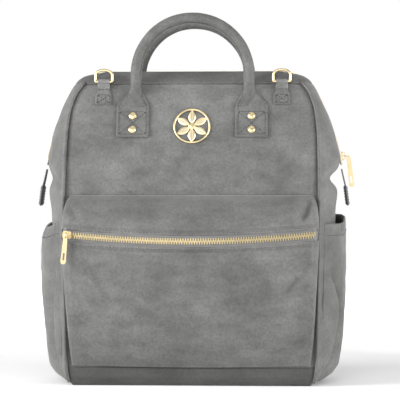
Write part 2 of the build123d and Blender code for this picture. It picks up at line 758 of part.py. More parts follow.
for side_name, x_sign in (("left", -1), ("right", 1)):
    save(back_strip(band_outline(STRAP, STRAP_WIDTH, (x_sign,)), STRAP_THICK), f"strap_{side_name}")
save(back_strip(band_outline(WEBBING, WEBBING_WIDTH), WEBBING_THICK), "strap_webbing")
with BuildSketch() as yoke_shape:
    with BuildLine():
        Polyline((-50, YOKE_LOW), (-50, YOKE_TOP), (50, YOKE_TOP), (50, YOKE_LOW), close=True)
    make_face()
save(back_strip(yoke_shape.sketch, 3.0, STRAP_THICK + 2 * GAP), "strap_yoke")
with BuildSketch() as anchors:
    for x_sign in (-1, 1):
        with BuildLine():
            Polyline(*[(x_sign * x, z) for x, z in ((104, 38), (131, 40), (140, 27), (106, 27))], close=True)
        make_face()
save(back_strip(anchors.sketch, 3.0), "webbing_anchors")

run = Vector(WEBBING[1][0] - WEBBING[0][0], 0, WEBBING[1][1] - WEBBING[0][1])
slope = (half_depth(WEBBING[1][1]) - half_depth(WEBBING[0][1])) / abs(WEBBING[1][1] - WEBBING[0][1])
for side_name, x_sign in (("left", -1), ("right", 1)):
    middle_x, middle_z = 109.8, 92.0
    face_y = half_depth(middle_z) + GAP + WEBBING_THICK + GAP
    along = Vector(x_sign * run.X, abs(run.Z) * slope, run.Z).normalized()
    face = Plane(origin=(x_sign * middle_x, face_y, middle_z), x_dir=along, z_dir=Vector(0, 1, -0.02))
    with BuildPart() as adjuster:
        with BuildSketch(face):
            RectangleRounded(16, 33, 3)
            with Locations((-3.4, 0), (3.4, 0)):
                Rectangle(3.4, 26, mode=Mode.SUBTRACT)
        extrude(amount=2.4)
    save(adjuster.part, f"adjuster_{side_name}")
    print("adjuster", side_name, tuple(along))
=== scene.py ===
"""Looks for the wide-mouth diaper backpack: soft grey imitation leather, gold hardware, studio light."""

import bpy
import math
import numpy as np
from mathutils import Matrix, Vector, noise


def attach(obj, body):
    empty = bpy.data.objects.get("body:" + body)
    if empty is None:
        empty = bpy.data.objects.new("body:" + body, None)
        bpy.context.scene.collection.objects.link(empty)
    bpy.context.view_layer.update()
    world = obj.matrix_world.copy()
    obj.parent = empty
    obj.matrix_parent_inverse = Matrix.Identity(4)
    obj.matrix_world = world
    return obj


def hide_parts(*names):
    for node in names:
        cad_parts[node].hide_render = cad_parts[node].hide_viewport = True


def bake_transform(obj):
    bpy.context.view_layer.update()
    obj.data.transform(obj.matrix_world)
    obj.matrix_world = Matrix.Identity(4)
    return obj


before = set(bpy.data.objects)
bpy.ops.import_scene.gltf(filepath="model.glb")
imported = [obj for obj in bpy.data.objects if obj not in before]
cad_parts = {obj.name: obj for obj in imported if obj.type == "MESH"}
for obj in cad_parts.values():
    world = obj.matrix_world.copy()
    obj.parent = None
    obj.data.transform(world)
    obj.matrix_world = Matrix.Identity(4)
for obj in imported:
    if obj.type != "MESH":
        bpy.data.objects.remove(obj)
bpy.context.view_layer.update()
MM = 0.001

# ---- the body's shape, in millimetres: height, half width of panel, half width at the side, half depth ----
TOP, SEAM, STRIP, PIVOT = 386.0, 370.0, 24.0, 268.0
BODY = np.array([
    (0, 145, 151, 65), (5, 148, 157.5, 69), (12, 149.5, 163, 72), (24, 151, 168.5, 73), (110, 153, 174, 75.5),
    (200, 154.5, 176, 73.5), (268, 154.5, 181, 62), (300, 154, 177.5, 51), (332, 151.5, 167.5, 40),
    (354, 145.5, 158, 32), (370, 135, 149, 25.5), (380, 120, 138, 18), (386, 105, 113, 10),
], float)
POUCH = np.array([
    (24, 144, 3), (34, 145.5, 9), (60, 148, 19), (120, 152, 33), (160, 154, 42), (178, 155, 43.5),
    (200, 154.5, 40), (216, 153, 30), (226, 150, 17), (232, 147, 4),
], float)
ZIP_LOW, ZIP_RISE, ZIP_OUT, ZIP_BACK, ZIP_END = 176.5, 8.0, 119.5, 14.0, 151.5


def smooth_rows(table, z):
    """Smooth, overshoot-free interpolation of every column of a section table at height z."""
    x, y = table[:, 0], table[:, 1:]
    z = min(max(z, x[0]), x[-1])
    i = min(max(int(np.searchsorted(x, z)) - 1, 0), len(x) - 2)
    h = np.diff(x)
    d = np.diff(y, axis=0) / h[:, None]

    def slope(k):
        if k == 0:
            return d[0]
        if k == len(x) - 1:
            return d[-1]
        a, b = d[k - 1], d[k]
        mean = 2 * a * b / np.where(a + b == 0, 1, a + b)
        return np.where(a * b > 0, mean, 0.0)

    t = (z - x[i]) / h[i]
    m0, m1 = slope(i) * h[i], slope(i + 1) * h[i]
    return ((2 * t**3 - 3 * t**2 + 1) * y[i] + (t**3 - 2 * t**2 + t) * m0
            + (3 * t**2 - 2 * t**3) * y[i + 1] + (t**3 - t**2) * m1)


def ramp(v, low, high):
    t = min(max((v - low) / (high - low), 0.0), 1.0)
    return t * t * (3 - 2 * t)


def fuzz(x, y, z, size, seed=0.0):
    """Smooth noise from -1 to 1 with features about size millimetres across."""
    return noise.noise(Vector((x / size + seed, y / size - seed * 0.7, z / size + seed * 1.3)))


def crease(x, z, a, b, width):
    """1 along the line from a to b, fading across it and towards its ends."""
    ax, az, bx, bz = *a, *b
    dx, dz = bx - ax, bz - az
    t = ((x - ax) * dx + (z - az) * dz) / (dx * dx + dz * dz)
    if t < -0.15 or t > 1.15:
        return 0.0
    away = abs((x - ax) * dz - (z - az) * dx) / math.hypot(dx, dz)
    ends = ramp(t, -0.15, 0.25) * (1 - ramp(t, 0.75, 1.15))
    return ends * math.exp(-((away / width) ** 2))


# ---- mesh helpers ----
def make(name, points, faces, material, smooth=True):
    """A mesh object from points in millimetres."""
    mesh = bpy.data.meshes.new(name)
    mesh.from_pydata([tuple(c * MM for c in p) for p in points], [], faces)
    mesh.update()
    obj = bpy.data.objects.new(name, mesh)
    bpy.context.scene.collection.objects.link(obj)
    mesh.materials.append(material)
    mesh.polygons.foreach_set("use_smooth", [smooth] * len(mesh.polygons))
    return obj


def grid_faces(rows, cols, loop=False, flip=False, start=0):
    faces = []
    for r in range(rows - 1):
        for c in range(cols if loop else cols - 1):
            n = (c + 1) % cols
            here, above = start + r * cols, start + (r + 1) * cols
            quad = (here + c, here + n, above + n, above + c)
            faces.append(quad[::-1] if flip else quad)
    return faces


def rim_faces(rows, cols):
    """Closes the edge between two grids of the same size, the second one's points after the first one's."""
    rim = (list(range(cols)) + [r * cols + cols - 1 for r in range(1, rows)]
           + [(rows - 1) * cols + c for c in range(cols - 2, -1, -1)]
           + [r * cols for r in range(rows - 2, 0, -1)])
    far = rows * cols
    return [(a, b, far + b, far + a) for a, b in zip(rim, rim[1:] + rim[:1])]


def outward(obj, centre=(0, 0, 150)):
    """Turns the faces of an open sheet to point away from a point in millimetres."""
    mesh = obj.data
    c = Vector(centre) * MM
    total = sum((p.center - c).dot(p.normal) * p.area for p in mesh.polygons)
    if total < 0:
        mesh.flip_normals()
    return obj


def apply_all(obj):
    """Applies the object's modifiers."""
    graph = bpy.context.evaluated_depsgraph_get()
    mesh = bpy.data.meshes.new_from_object(obj.evaluated_get(graph))
    old = obj.data
    obj.modifiers.clear()
    obj.data = mesh
    bpy.data.meshes.remove(old)
    return obj


def thicken(obj, thickness, offset=-1.0):
    """Gives a sheet its thickness in millimetres; offset -1 grows it inwards."""
    mod = obj.modifiers.new("thick", "SOLIDIFY")
    mod.thickness, mod.offset = thickness * MM, offset
    return apply_all(obj)


def polyline_frames(points, up=(0, 0, 1)):
    """For each point: the point, its tangent, a side and an up direction that turn as little as possible."""
    pts = [Vector(p) for p in points]
    tangents = [(pts[min(i + 1, len(pts) - 1)] - pts[max(i - 1, 0)]).normalized() for i in range(len(pts))]
    u = Vector(up)
    frames = []
    for p, t in zip(pts, tangents):
        u = u - t * u.dot(t)
        if u.length < 1e-6:
            u = t.orthogonal()
        u.normalize()
        frames.append((p, t, t.cross(u), u))
    return frames


def tube(name, points, radius, material, sides=12, up=(0, 0, 1), closed=False, shape=None):
    """A tube along points. radius may be a function of the fraction along; shape scales it."""
    frames = polyline_frames(points, up)
    verts, n = [], len(frames)
    for i, (p, _, s, u) in enumerate(frames):
        f = i / (n - 1)
        r = radius(f) if callable(radius) else radius
        for k in range(sides):
            a = 2 * math.pi * k / sides
            rr = r * (shape(a, f) if shape else 1.0)
            verts.append(p + s * (rr * math.cos(a)) + u * (rr * math.sin(a)))
    faces = grid_faces(n, sides, loop=True)
    if closed:
        last = (n - 1) * sides
        faces += [(last + k, last + (k + 1) % sides, (k + 1) % sides, k) for k in range(sides)]
    else:
        faces += [tuple(range(sides))[::-1], tuple((n - 1) * sides + k for k in range(sides))]
    return make(name, verts, faces, material)


def resample(points, step):
    """Points every step millimetres along a polyline, both ends kept."""
    pts = [Vector(p) for p in points]
    lengths = [0.0]
    for a, b in zip(pts, pts[1:]):
        lengths.append(lengths[-1] + (b - a).length)
    count = max(int(round(lengths[-1] / step)), 1)
    out, k = [], 0
    for i in range(count + 1):
        s = lengths[-1] * i / count
        while k < len(pts) - 2 and lengths[k + 1] < s:
            k += 1
        span = lengths[k + 1] - lengths[k]
        out.append(pts[k].lerp(pts[k + 1], (s - lengths[k]) / span if span else 0))
    return out


def spline(points, per=12):
    """A smooth curve through points."""
    pts = [Vector(p) for p in points]
    pts = [2 * pts[0] - pts[1]] + pts + [2 * pts[-1] - pts[-2]]
    out = []
    for i in range(1, len(pts) - 2):
        a, b, c, d = pts[i - 1 : i + 3]
        for k in range(per):
            t = k / per
            out.append(0.5 * ((2 * b) + (c - a) * t + (2 * a - 5 * b + 4 * c - d) * t * t
                              + (3 * b - a - 3 * c + d) * t**3))
    return out + [pts[-2]]


class Stitches:
    """Collects thread stitches and makes them one mesh."""

    def __init__(self, name):
        self.name, self.verts, self.faces = name, [], []

    def add(self, points, normal, length=3.4, gap=1.1, radius=0.44, lift=0.2):
        """A running seam along points; normal is a direction or a function of the point."""
        path = resample(points, (length + gap))
        for i, (a, b) in enumerate(zip(path, path[1:])):
            along = (b - a).normalized()
            a, b = a + along * gap * 0.5, b - along * gap * 0.5
            out = Vector(normal((a + b) / 2) if callable(normal) else normal)
            out = (out - along * out.dot(along)).normalized()
            side = along.cross(out)
            base = len(self.verts)
            for t, r, h in ((0, 0.45, -0.35), (0.18, 0.95, 0.0), (0.5, 1.0, 0.16), (0.82, 0.95, 0.0),
                            (1, 0.45, -0.35)):
                c = a.lerp(b, t) + out * (lift + h)
                for k in range(6):
                    q = math.pi / 3 * k
                    across, up = math.cos(q) * radius * r, math.sin(q) * radius * r * 0.8
                    self.verts.append(c + side * across + out * up)
            for j in range(4):
                for k in range(6):
                    n = (k + 1) % 6
                    low = base + j * 6
                    self.faces.append((low + k, low + n, low + 6 + n, low + 6 + k))
            self.faces.append(tuple(base + k for k in range(6))[::-1])
            self.faces.append(tuple(base + 24 + k for k in range(6)))

    def build(self, material):
        return make(self.name, self.verts, self.faces, material)


def mouth_weights(obj):
    """Bakes the piece's placement into its mesh."""
    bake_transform(obj)
    return obj


# ---- materials ----
def material(name):
    mat = bpy.data.materials.new(name)
    mat.use_nodes = True
    tree = mat.node_tree
    tree.nodes.clear()
    out = tree.nodes.new("ShaderNodeOutputMaterial")
    shader = tree.nodes.new("ShaderNodeBsdfPrincipled")
    tree.links.new(shader.outputs[0], out.inputs[0])
    return mat, tree, shader


def node(tree, kind, **values):
    made = tree.nodes.new(kind)
    for key, value in values.items():
        if hasattr(made, key):
            setattr(made, key, value)
        else:
            made.inputs[key.replace("_", " ")].default_value = value
    return made


def noise_node(tree, coord, scale, detail=3.0, rough=0.55, stretch=(1, 1, 1)):
    mapped = node(tree, "ShaderNodeMapping")
    mapped.inputs["Scale"].default_value = stretch
    tree.links.new(coord, mapped.inputs["Vector"])
    made = node(tree, "ShaderNodeTexNoise", Scale=scale, Detail=detail, Roughness=rough)
    tree.links.new(mapped.outputs[0], made.inputs["Vector"])
    return made.outputs["Fac"]


def colour_ramp(tree, fac, stops):
    made = node(tree, "ShaderNodeValToRGB")
    while len(made.color_ramp.elements) < len(stops):
        made.color_ramp.elements.new(0.5)
    for element, (at, colour) in zip(made.color_ramp.elements, stops):
        element.position, element.color = at, (*colour, 1)
    tree.links.new(fac, made.inputs["Fac"])
    return made.outputs["Color"]


def mix(tree, kind, fac, a, b):
    made = node(tree, "ShaderNodeMix")
    made.data_type, made.blend_type = "RGBA", kind
    made.inputs[0].default_value = fac
    tree.links.new(a, made.inputs[6])
    tree.links.new(b, made.inputs[7])
    return made.outputs[2]


def bump(tree, height, strength, distance, below=None):
    made = node(tree, "ShaderNodeBump", Strength=strength, Distance=distance)
    tree.links.new(height, made.inputs["Height"])
    if below:
        tree.links.new(below, made.inputs["Normal"])
    return made.outputs["Normal"]


def grey(v, warm=0.0):
    return (v, v, v * (1 - 2 * warm))


def leather(name, value, spread=0.12, rough=0.6, grain=1.0):
    """Brushed imitation leather: soft clouds, fine speckle, pebbled grain, paler on raised edges (partly
    wear, partly painted highlight) and darker in hollows as painted shade.
    """
    mat, tree, shader = material(name)
    coord = node(tree, "ShaderNodeTexCoord").outputs["Object"]
    cloud = noise_node(tree, coord, 15, 4, 0.5)
    patch_tone = noise_node(tree, coord, 48, 4, 0.6, (0.8, 1, 1.3))
    fleck = noise_node(tree, coord, 330, 4, 0.65)
    base = colour_ramp(tree, cloud, [
        (0.3, grey(value * (1 - spread), 0.014)), (0.5, grey(value, 0.016)),
        (0.7, grey(value * (1 + spread), 0.018))])
    soft = colour_ramp(tree, patch_tone, [(0.3, grey(0.80)), (0.7, grey(1.20))])
    speck = colour_ramp(tree, fleck, [(0.32, grey(0.78)), (0.52, grey(1.0)), (0.72, grey(1.2))])
    # painted light from curvature: raised edges are made paler, partly as wear and partly as painted
    # highlight, and hollows and creases are made darker as painted shade
    edge_wear_and_crease_shade = colour_ramp(tree, node(tree, "ShaderNodeNewGeometry").outputs["Pointiness"],
                         [(0.44, grey(0.72)), (0.5, grey(1.0)), (0.56, grey(1.22))])
    clouded = mix(tree, "MULTIPLY", 1.0, base, soft)
    tone = mix(tree, "MULTIPLY", 1.0, clouded, mix(tree, "MULTIPLY", 1.0, speck, edge_wear_and_crease_shade))
    tree.links.new(tone, shader.inputs["Base Color"])
    cells = node(tree, "ShaderNodeTexVoronoi", Scale=1050.0)
    cells.feature = "SMOOTH_F1"
    tree.links.new(coord, cells.inputs["Vector"])
    fine = noise_node(tree, coord, 1500, 2, 0.5)
    normal = bump(tree, cells.outputs["Distance"], 0.20 * grain, 0.0005)
    normal = bump(tree, fine, 0.10 * grain, 0.0004, normal)
    normal = bump(tree, noise_node(tree, coord, 90, 3, 0.5), 0.15 * grain, 0.0014, normal)
    tree.links.new(normal, shader.inputs["Normal"])
    span = node(tree, "ShaderNodeMapRange")
    span.inputs["To Min"].default_value, span.inputs["To Max"].default_value = rough - 0.08, rough + 0.12
    tree.links.new(fleck, span.inputs["Value"])
    tree.links.new(span.outputs[0], shader.inputs["Roughness"])
    shader.inputs["Specular IOR Level"].default_value = 0.35
    shader.inputs["Sheen Weight"].default_value = 0.12
    shader.inputs["Sheen Roughness"].default_value = 0.5
    return mat


def cloth(name, value, scale=900.0, rough=0.85, warm=0.0):
    """Plain woven fabric: crossed threads."""
    mat, tree, shader = material(name)
    coord = node(tree, "ShaderNodeTexCoord").outputs["Object"]
    waves = []
    for direction in ("X", "Z"):
        wave = node(tree, "ShaderNodeTexWave", Scale=scale / 6.28, Distortion=0.6, Detail=1.0)
        wave.bands_direction = direction
        tree.links.new(coord, wave.inputs["Vector"])
        waves.append(wave.outputs["Color"])
    weave = mix(tree, "MULTIPLY", 1.0, *waves)
    tone = colour_ramp(tree, noise_node(tree, coord, 60, 4), [
        (0.3, grey(value * 0.85, warm)), (0.7, grey(value * 1.12, warm))])
    dots = colour_ramp(tree, weave, [(0.0, grey(0.72)), (0.6, grey(1.06))])
    tree.links.new(mix(tree, "MULTIPLY", 1.0, tone, dots), shader.inputs["Base Color"])
    tree.links.new(bump(tree, weave, 0.35, 0.0004), shader.inputs["Normal"])
    shader.inputs["Roughness"].default_value = rough
    shader.inputs["Sheen Weight"].default_value = 0.2
    return mat


def metal(name, colour, rough, scratch=0.05):
    mat, tree, shader = material(name)
    coord = node(tree, "ShaderNodeTexCoord").outputs["Object"]
    fine = noise_node(tree, coord, 420, 3, 0.6)
    tone = colour_ramp(tree, noise_node(tree, coord, 90, 3), [
        (0.3, tuple(c * 0.9 for c in colour)), (0.7, tuple(min(c * 1.06, 1) for c in colour))])
    tree.links.new(tone, shader.inputs["Base Color"])
    span = node(tree, "ShaderNodeMapRange")
    span.inputs["To Min"].default_value, span.inputs["To Max"].default_value = rough - 0.05, rough + 0.08
    tree.links.new(fine, span.inputs["Value"])
    tree.links.new(span.outputs[0], shader.inputs["Roughness"])
    tree.links.new(bump(tree, fine, scratch, 0.0003), shader.inputs["Normal"])
    shader.inputs["Metallic"].default_value = 1.0
    return mat


LEATHER = leather("leather_grey", 0.102, 0.22)
# a lighter copy of the same leather: painted highlight for the rounded piping bead; the zip-end scraps use it
# too
LEATHER_PAINTED_HIGHLIGHT = leather("leather_grey_bead_painted_highlight", 0.13, 0.12)
LEATHER_BAND = leather("leather_grey_band", 0.077, 0.15)
LEATHER_STRIP = leather("leather_grey_strip", 0.053, 0.15)
LEATHER_DARK = leather("leather_grey_edge", 0.065, 0.12, 0.6)
LEATHER_TAB = leather("leather_grey_patch", 0.108, 0.16)
# a darker copy of the same leather for the handles: painted shade for their dimly lit tops
LEATHER_HANDLE_PAINTED_SHADE = leather("leather_grey_handle_painted_shade", 0.080, 0.16)
THREAD = cloth("thread_grey", 0.045, 2400, 0.7)
TAPE = cloth("zip_tape_grey", 0.17, 1800, 0.85)
WEBBING = cloth("webbing_grey", 0.085, 1100, 0.8)
LINING = cloth("lining_grey", 0.30, 1300, 0.9, 0.02)
GOLD = metal("gold_pale", (0.74, 0.61, 0.36), 0.33)
GOLD_BRUSHED = metal("gold_pale_brushed", (0.80, 0.69, 0.46), 0.4, 0.1)
BOARD = leather("board_black", 0.03, 0.1, 0.5)
STEEL = metal("spring_steel", (0.55, 0.55, 0.57), 0.35)


def put(obj, body, slot, *nodes):
    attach(obj, body)
    if nodes:
        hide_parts(*nodes)
    return obj


# ---- outer walls ----
def plan_point(p, z, inset=0.0):
    """The body at height z. p runs from -2 (left side) through -1 and 1 (front corners) to 2 (right side)."""
    front, side, deep = smooth_rows(BODY, z)
    front, side, deep = front - inset, side - inset, deep - inset
    radius = ((side - front) ** 2 + deep * deep) / (2 * (side - front))
    middle = side - radius
    top = math.asin(min(deep / radius, 1.0))
    s = 1 if p >= 0 else -1
    q = abs(p)
    if q <= 1:
        x, y, n = front * q, -deep, Vector((0, -1, 0))
        corner = ramp(q, 0.93, 1.0)
        y += corner * 1.0
    else:
        a = top * (2 - q)
        x, y = middle + radius * math.cos(a), -radius * math.sin(a)
        n = Vector((math.cos(a), -math.sin(a), 0))
    return Vector((s * x, y, z)), Vector((s * n.x, n.y, 0))


def wall_relief(p, x, y, z, sign):
    """How far the soft wall stands out from its plain shape, in millimetres."""
    q = abs(p)
    out = 0.9 * fuzz(x, y, z, 75, 3.1 + sign) + 0.45 * fuzz(x, y, z, 32, 7.7 + sign)
    if q <= 1:
        out += 2.2 * (1 - q**4) * ramp(z, 235, 290) * (1 - ramp(z, 340, SEAM))
        out -= 2.2 * math.exp(-(((1 - q) * 150 / 2.6) ** 2))
        if sign < 0:
            left = 1.5 * crease(x, z, (-146, 296), (-104, 262), 7)
            out -= left + 1.3 * crease(x, z, (146, 300), (112, 258), 7)
            out -= 1.0 * crease(x, z, (-60, 262), (40, 246), 8)
    else:
        t = q - 1
        out += 1.0 * math.sin(math.pi * t)
        # the gusset stands out at the foot of the zip and folds in under it, more on the right
        out += 2.0 * math.exp(-(((z - 280) / 12) ** 2)) * ramp(t, 0.2, 1.0)
        notch = 11.0 if x > 0 else 4.5
        out -= notch * math.exp(-(((z - 253) / 9) ** 2)) * ramp(t, 0.15, 0.8)
        out -= 2.0 * math.exp(-(((z - 268 + 22 * (1 - t)) / 7) ** 2)) * math.sin(math.pi * min(t * 1.1, 1))
        out += 1.2 * math.exp(-(((z - 232) / 12) ** 2)) * math.sin(math.pi * t)
        out += 0.9 * fuzz(x, y * 0.6, z, 26, 11.0)
    edge = min(abs(q - 1) / 0.06, 1.0)
    return out * (0.35 + 0.65 * edge) * ramp(z, 0, 22) * (1 - ramp(z, SEAM - 8, TOP) * 0.7)


def panel_wall(name, cols, rows, sign):
    """The front (sign -1) or back (sign 1) wall between its corners."""
    z_from, z_to = STRIP - 1, SEAM + 0.5
    points = []
    for r in range(rows):
        z = z_from + (z_to - z_from) * r / (rows - 1)
        for c in range(cols):
            p = -1 + 2 * c / (cols - 1)
            at, n = plan_point(p, z)
            at = at + n * wall_relief(p, at.x, at.y, z, sign)
            points.append((at.x, -sign * at.y, at.z))
    return outward(make(name, points, grid_faces(rows, cols), LEATHER))


for sign, half, body in ((-1, "front", "front_mouth"), (1, "back", "back_mouth")):
    panel = panel_wall(f"{half}_leather", 96, 110, sign)
    mouth_weights(thicken(panel, 2.0))
    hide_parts(f"{half}_panel", f"{half}_panel_upper", f"{half}_fold")
    for x_sign, side_name in ((-1, "left"), (1, "right")):
        gusset = []
        rows, cols = 112, 26
        for r in range(rows):
            z = 4 + (SEAM + 0.5 - 4) * r / (rows - 1)
            stop = 2 - (ramp(z, 262, 276) * 6.0) / (smooth_rows(BODY, z)[2] + 1e-6) * 0.9
            for c in range(cols):
                p = 1 + (stop - 1) * c / (cols - 1)
                at, n = plan_point(p, z)
                at = at + n * wall_relief(p, at.x * x_sign, at.y, z, sign)
                gusset.append((x_sign * at.x, -sign * at.y, at.z))
        gusset = outward(make(f"gusset_{side_name}_{half}", gusset, grid_faces(rows, cols), LEATHER))
        mouth_weights(thicken(gusset, 2.0))
        if sign < 0:
            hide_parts(f"side_panel_{side_name}")
    # the mouth band: a rolled strip above the seam
    rows, cols = 14, 150
    band = []
    for r in range(rows):
        f = r / (rows - 1)
        z = SEAM + 0.2 + (TOP - SEAM - 0.2) * math.sin(f * math.pi / 2)
        for c in range(cols):
            p = -2 + 4 * c / (cols - 1)
            clear = 5.5 / (smooth_rows(BODY, z)[2]) * 0.9
            p = max(min(p, 2 - clear), -2 + clear)
            at, n = plan_point(p, z)
            lip = 1.3 * math.exp(-((z - SEAM) / 2.2) ** 2) + 0.5 * fuzz(at.x, 0, z, 40, 5.0)
            at = at + n * (1.0 - lip * 0.9)
            band.append((at.x, -sign * at.y, at.z))
    band = outward(make(f"{half}_band_leather", band, grid_faces(rows, cols), LEATHER_BAND), (0, 0, 300))
    put(thicken(band, 2.0), body, "leather", f"{half}_mouth_band")

# base: a strip up the front and back, turned under the bag
rows, cols = 16, 80
loop = []
for r in range(rows):
    z = 0.05 + (STRIP - 0.6) * r / (rows - 1)
    for sign in (-1, 1):
        for c in range(cols):
            p = (1 - 2 * c / (cols - 1)) * sign
            at, n = plan_point(p, z)
            puff = 0.9 * math.sin(math.pi * z / STRIP) - 1.1 * math.exp(-(((STRIP - z) / 1.2) ** 2))
            at = at + n * (0.4 + puff + 0.5 * fuzz(at.x, at.y, z, 50, 2.0) * ramp(z, 0, 12))
            loop.append((at.x, -sign * at.y, at.z))
faces = grid_faces(rows, 2 * cols, loop=True) + [tuple(range(2 * cols))[::-1]]
base = make("base_leather", loop, faces, LEATHER_STRIP)
put(outward(base, (0, 0, 12)), "bag", "leather", "base_panel")

# ---- lining ----
for sign, half, body in ((-1, "front", "front_mouth"), (1, "back", "back_mouth")):
    rows, cols = 70, 90
    points = []
    for r in range(rows):
        z = 7 + (TOP - 13 - 7) * r / (rows - 1)
        inset = 5.5 + 5.5 * ramp(z, 240, 300)
        for c in range(cols):
            p = -2 + 4 * c / (cols - 1)
            clear = ramp(z, 262, 276) * 6.5 / (smooth_rows(BODY, z)[2] - inset + 1e-6)
            p = max(min(p, 2 - clear), -2 + clear)
            at, n = plan_point(p, z, inset)
            d = 0.8 * fuzz(at.x, at.y, z, 30, 21.0 + sign)
            # it folds in behind the gusset's notch
            notch = 12.0 if at.x > 0 else 5.5
            d -= notch * math.exp(-(((z - 253) / 11) ** 2)) * ramp(abs(p) - 1, 0.08, 0.7)
            at = at + n * d
            points.append((at.x, -sign * at.y, at.z))
    # its top edge is drawn in and sewn under the zip tape, which hides the spring wire
    top_row, hem_rows = points[-cols:], 6
    for r in range(1, hem_rows + 1):
        f = r / hem_rows
        for x, y, z in top_row:
            reach = float(np.interp(abs(x), [114, 129, 141.5, 150], [383.4, 379.8, 374.5, 370]))
            points.append((x, y + (math.copysign(min(abs(y), 9.4), y) - y) * f, z + (max(reach, z) - z) * f))
    inner = outward(make(f"lining_{half}", points, grid_faces(rows + hem_rows, cols), LINING), (0, 0, 150))
    mouth_weights(thicken(inner, 0.8))
    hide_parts(*(["lining"] if sign < 0 else []), f"{half}_lining_upper")
rows, cols = 20, 60
points = [(-139 + 278 * c / (cols - 1), -64 + 128 * r / (rows - 1),
           6.6 + 0.3 * fuzz(c * 5, r * 6, 0, 20)) for r in range(rows) for c in range(cols)]
floor_lining = thicken(make("lining_floor", points, grid_faces(rows, cols), LINING), 0.6, 1.0)
put(floor_lining, "bag", "lining")
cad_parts["base_board"].data.materials.clear()
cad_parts["base_board"].data.materials.append(BOARD)
for half in ("front", "back"):
    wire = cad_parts[f"{half}_frame_wire"]
    wire.data.materials.clear()
    wire.data.materials.append(STEEL)

# ---- front pouch ----
def zip_height(x):
    return ZIP_LOW + ZIP_RISE * (x / ZIP_END) ** 2


def pouch_outline(z):
    """One half of the pouch's plan at height z, from its middle to the panel: points (x, how far out)."""
    half, out = smooth_rows(POUCH, z)
    root = min(half, smooth_rows(BODY, z)[0] - 2.6)
    pts = [(0, 1.0), (half * 0.3, 0.985), (half * 0.6, 0.925), (half - 22, 0.845), (half - 9, 0.775),
           (half - 2, 0.66), (half, 0.5), (half - 1.0, 0.3), (root + 0.6, 0.12), (root, 0.0)]
    return [Vector((x, out * f, 0)) for x, f in pts]


def pouch_relief(x, z):
    """Slack in the pouch's front, in millimetres."""
    out = 1.5 * fuzz(x, 0, z, 85, 31.0) + 0.7 * fuzz(x, 0, z, 34, 37.0) + 0.3 * fuzz(x, 0, z, 14, 39.0)
    out -= 2.6 * crease(x, z, (-128, 158), (-98, 108), 6) - 1.6 * crease(x, z, (-114, 160), (-86, 112), 7)
    out -= 1.8 * crease(x, z, (-142, 118), (-118, 82), 6)
    out -= 2.6 * crease(x, z, (146, 152), (110, 108), 6) - 1.5 * crease(x, z, (132, 154), (98, 112), 7)
    out -= 1.8 * crease(x, z, (150, 120), (128, 70), 7)
    out -= 1.6 * crease(x, z, (-96, 58), (-16, 42), 10) + 1.4 * crease(x, z, (30, 50), (110, 42), 9)
    # a pinch at the upper right corner, and softer dents along the top
    out -= 6.0 * crease(x, z, (146, 227), (134, 200), 5.0) - 2.6 * crease(x, z, (135, 228), (122, 204), 7)
    out -= 2.2 * crease(x, z, (-152, 224), (-132, 200), 5)
    out -= 1.5 * crease(x, z, (-90, 220), (-10, 206), 9) + 1.2 * crease(x, z, (20, 216), (90, 206), 8)
    return out


def pouch_point(u, z):
    """u runs from -1 to 1 round the pouch at height z."""
    line = resample(pouch_outline(z), 1.0)
    k = abs(u) * (len(line) - 1)
    i = min(int(k), len(line) - 2)
    at = line[i].lerp(line[i + 1], k - i)
    x = math.copysign(at.x, u)
    wall_y = smooth_rows(BODY, z)[2]
    out = at.y
    near = math.exp(-(((z - zip_height(x)) / 13) ** 2)) * (1 - ramp(abs(u), 0.74, 0.86))
    target = ZIP_OUT - ZIP_BACK * (x / ZIP_END) ** 2 - wall_y
    out = out * (1 - near) + target * near
    side = ramp(abs(u), 0.86, 1.0)
    out += pouch_relief(x, z) * (1 - side) * ramp(z, 22, 50) * (1 - ramp(z, 226, 232)) * (1 - 0.8 * near)
    return Vector((x, -(wall_y + 0.3 + out), z))


def pouch_sheet(name, low, high, rows, cols, roll_low, roll_high):
    """Part of the pouch between two heights, which are functions of x; its edges roll inwards."""
    points = []
    for r in range(rows):
        f = r / (rows - 1)
        for c in range(cols):
            u = -1 + 2 * c / (cols - 1)
            x = math.copysign(min(abs(u) / 0.86, 1.0) * 150, u)
            z0, z1 = low(x, abs(u)), high(x, abs(u))
            z = z0 + (z1 - z0) * f
            at = pouch_point(u, z)
            rim = 0.0
            if roll_low:
                rim = max(rim, 1 - (z - z0) / 2.2)
            if roll_high:
                rim = max(rim, 1 - (z1 - z) / 2.2)
            at.y += 1.3 * rim * rim if rim > 0 else 0
            # the turned edge beside the zip is pulled flat by its stitch line
            for edge, on in ((z0, roll_low), (z1, roll_high)):
                if on:
                    at.y += 0.7 * math.exp(-(((abs(z - edge) - 6.0) / 1.5) ** 2))
                    at.y -= 0.7 * math.exp(-(((abs(z - edge) - 3.0) / 2.0) ** 2))
            points.append(at)
    sheet = outward(make(name, points, grid_faces(rows, cols), LEATHER), (0, -70, 120))
    return thicken(sheet, 1.8)


lower = pouch_sheet("pouch_lower_leather", lambda x, u: STRIP - 1.0 + 1.6 * (x / 150) ** 2,
                    lambda x, u: zip_height(x) - (6.4 - 6.2 * ramp(u, 0.845, 0.868)), 92, 190, False, True)
put(lower, "bag", "leather", "pouch_lower_panel")
upper = pouch_sheet("pouch_upper_leather", lambda x, u: zip_height(x) + (6.4 - 6.2 * ramp(u, 0.845, 0.868)),
                    lambda x, u: 231.6, 40, 190, True, False)
put(upper, "bag", "leather", "pouch_upper_panel")


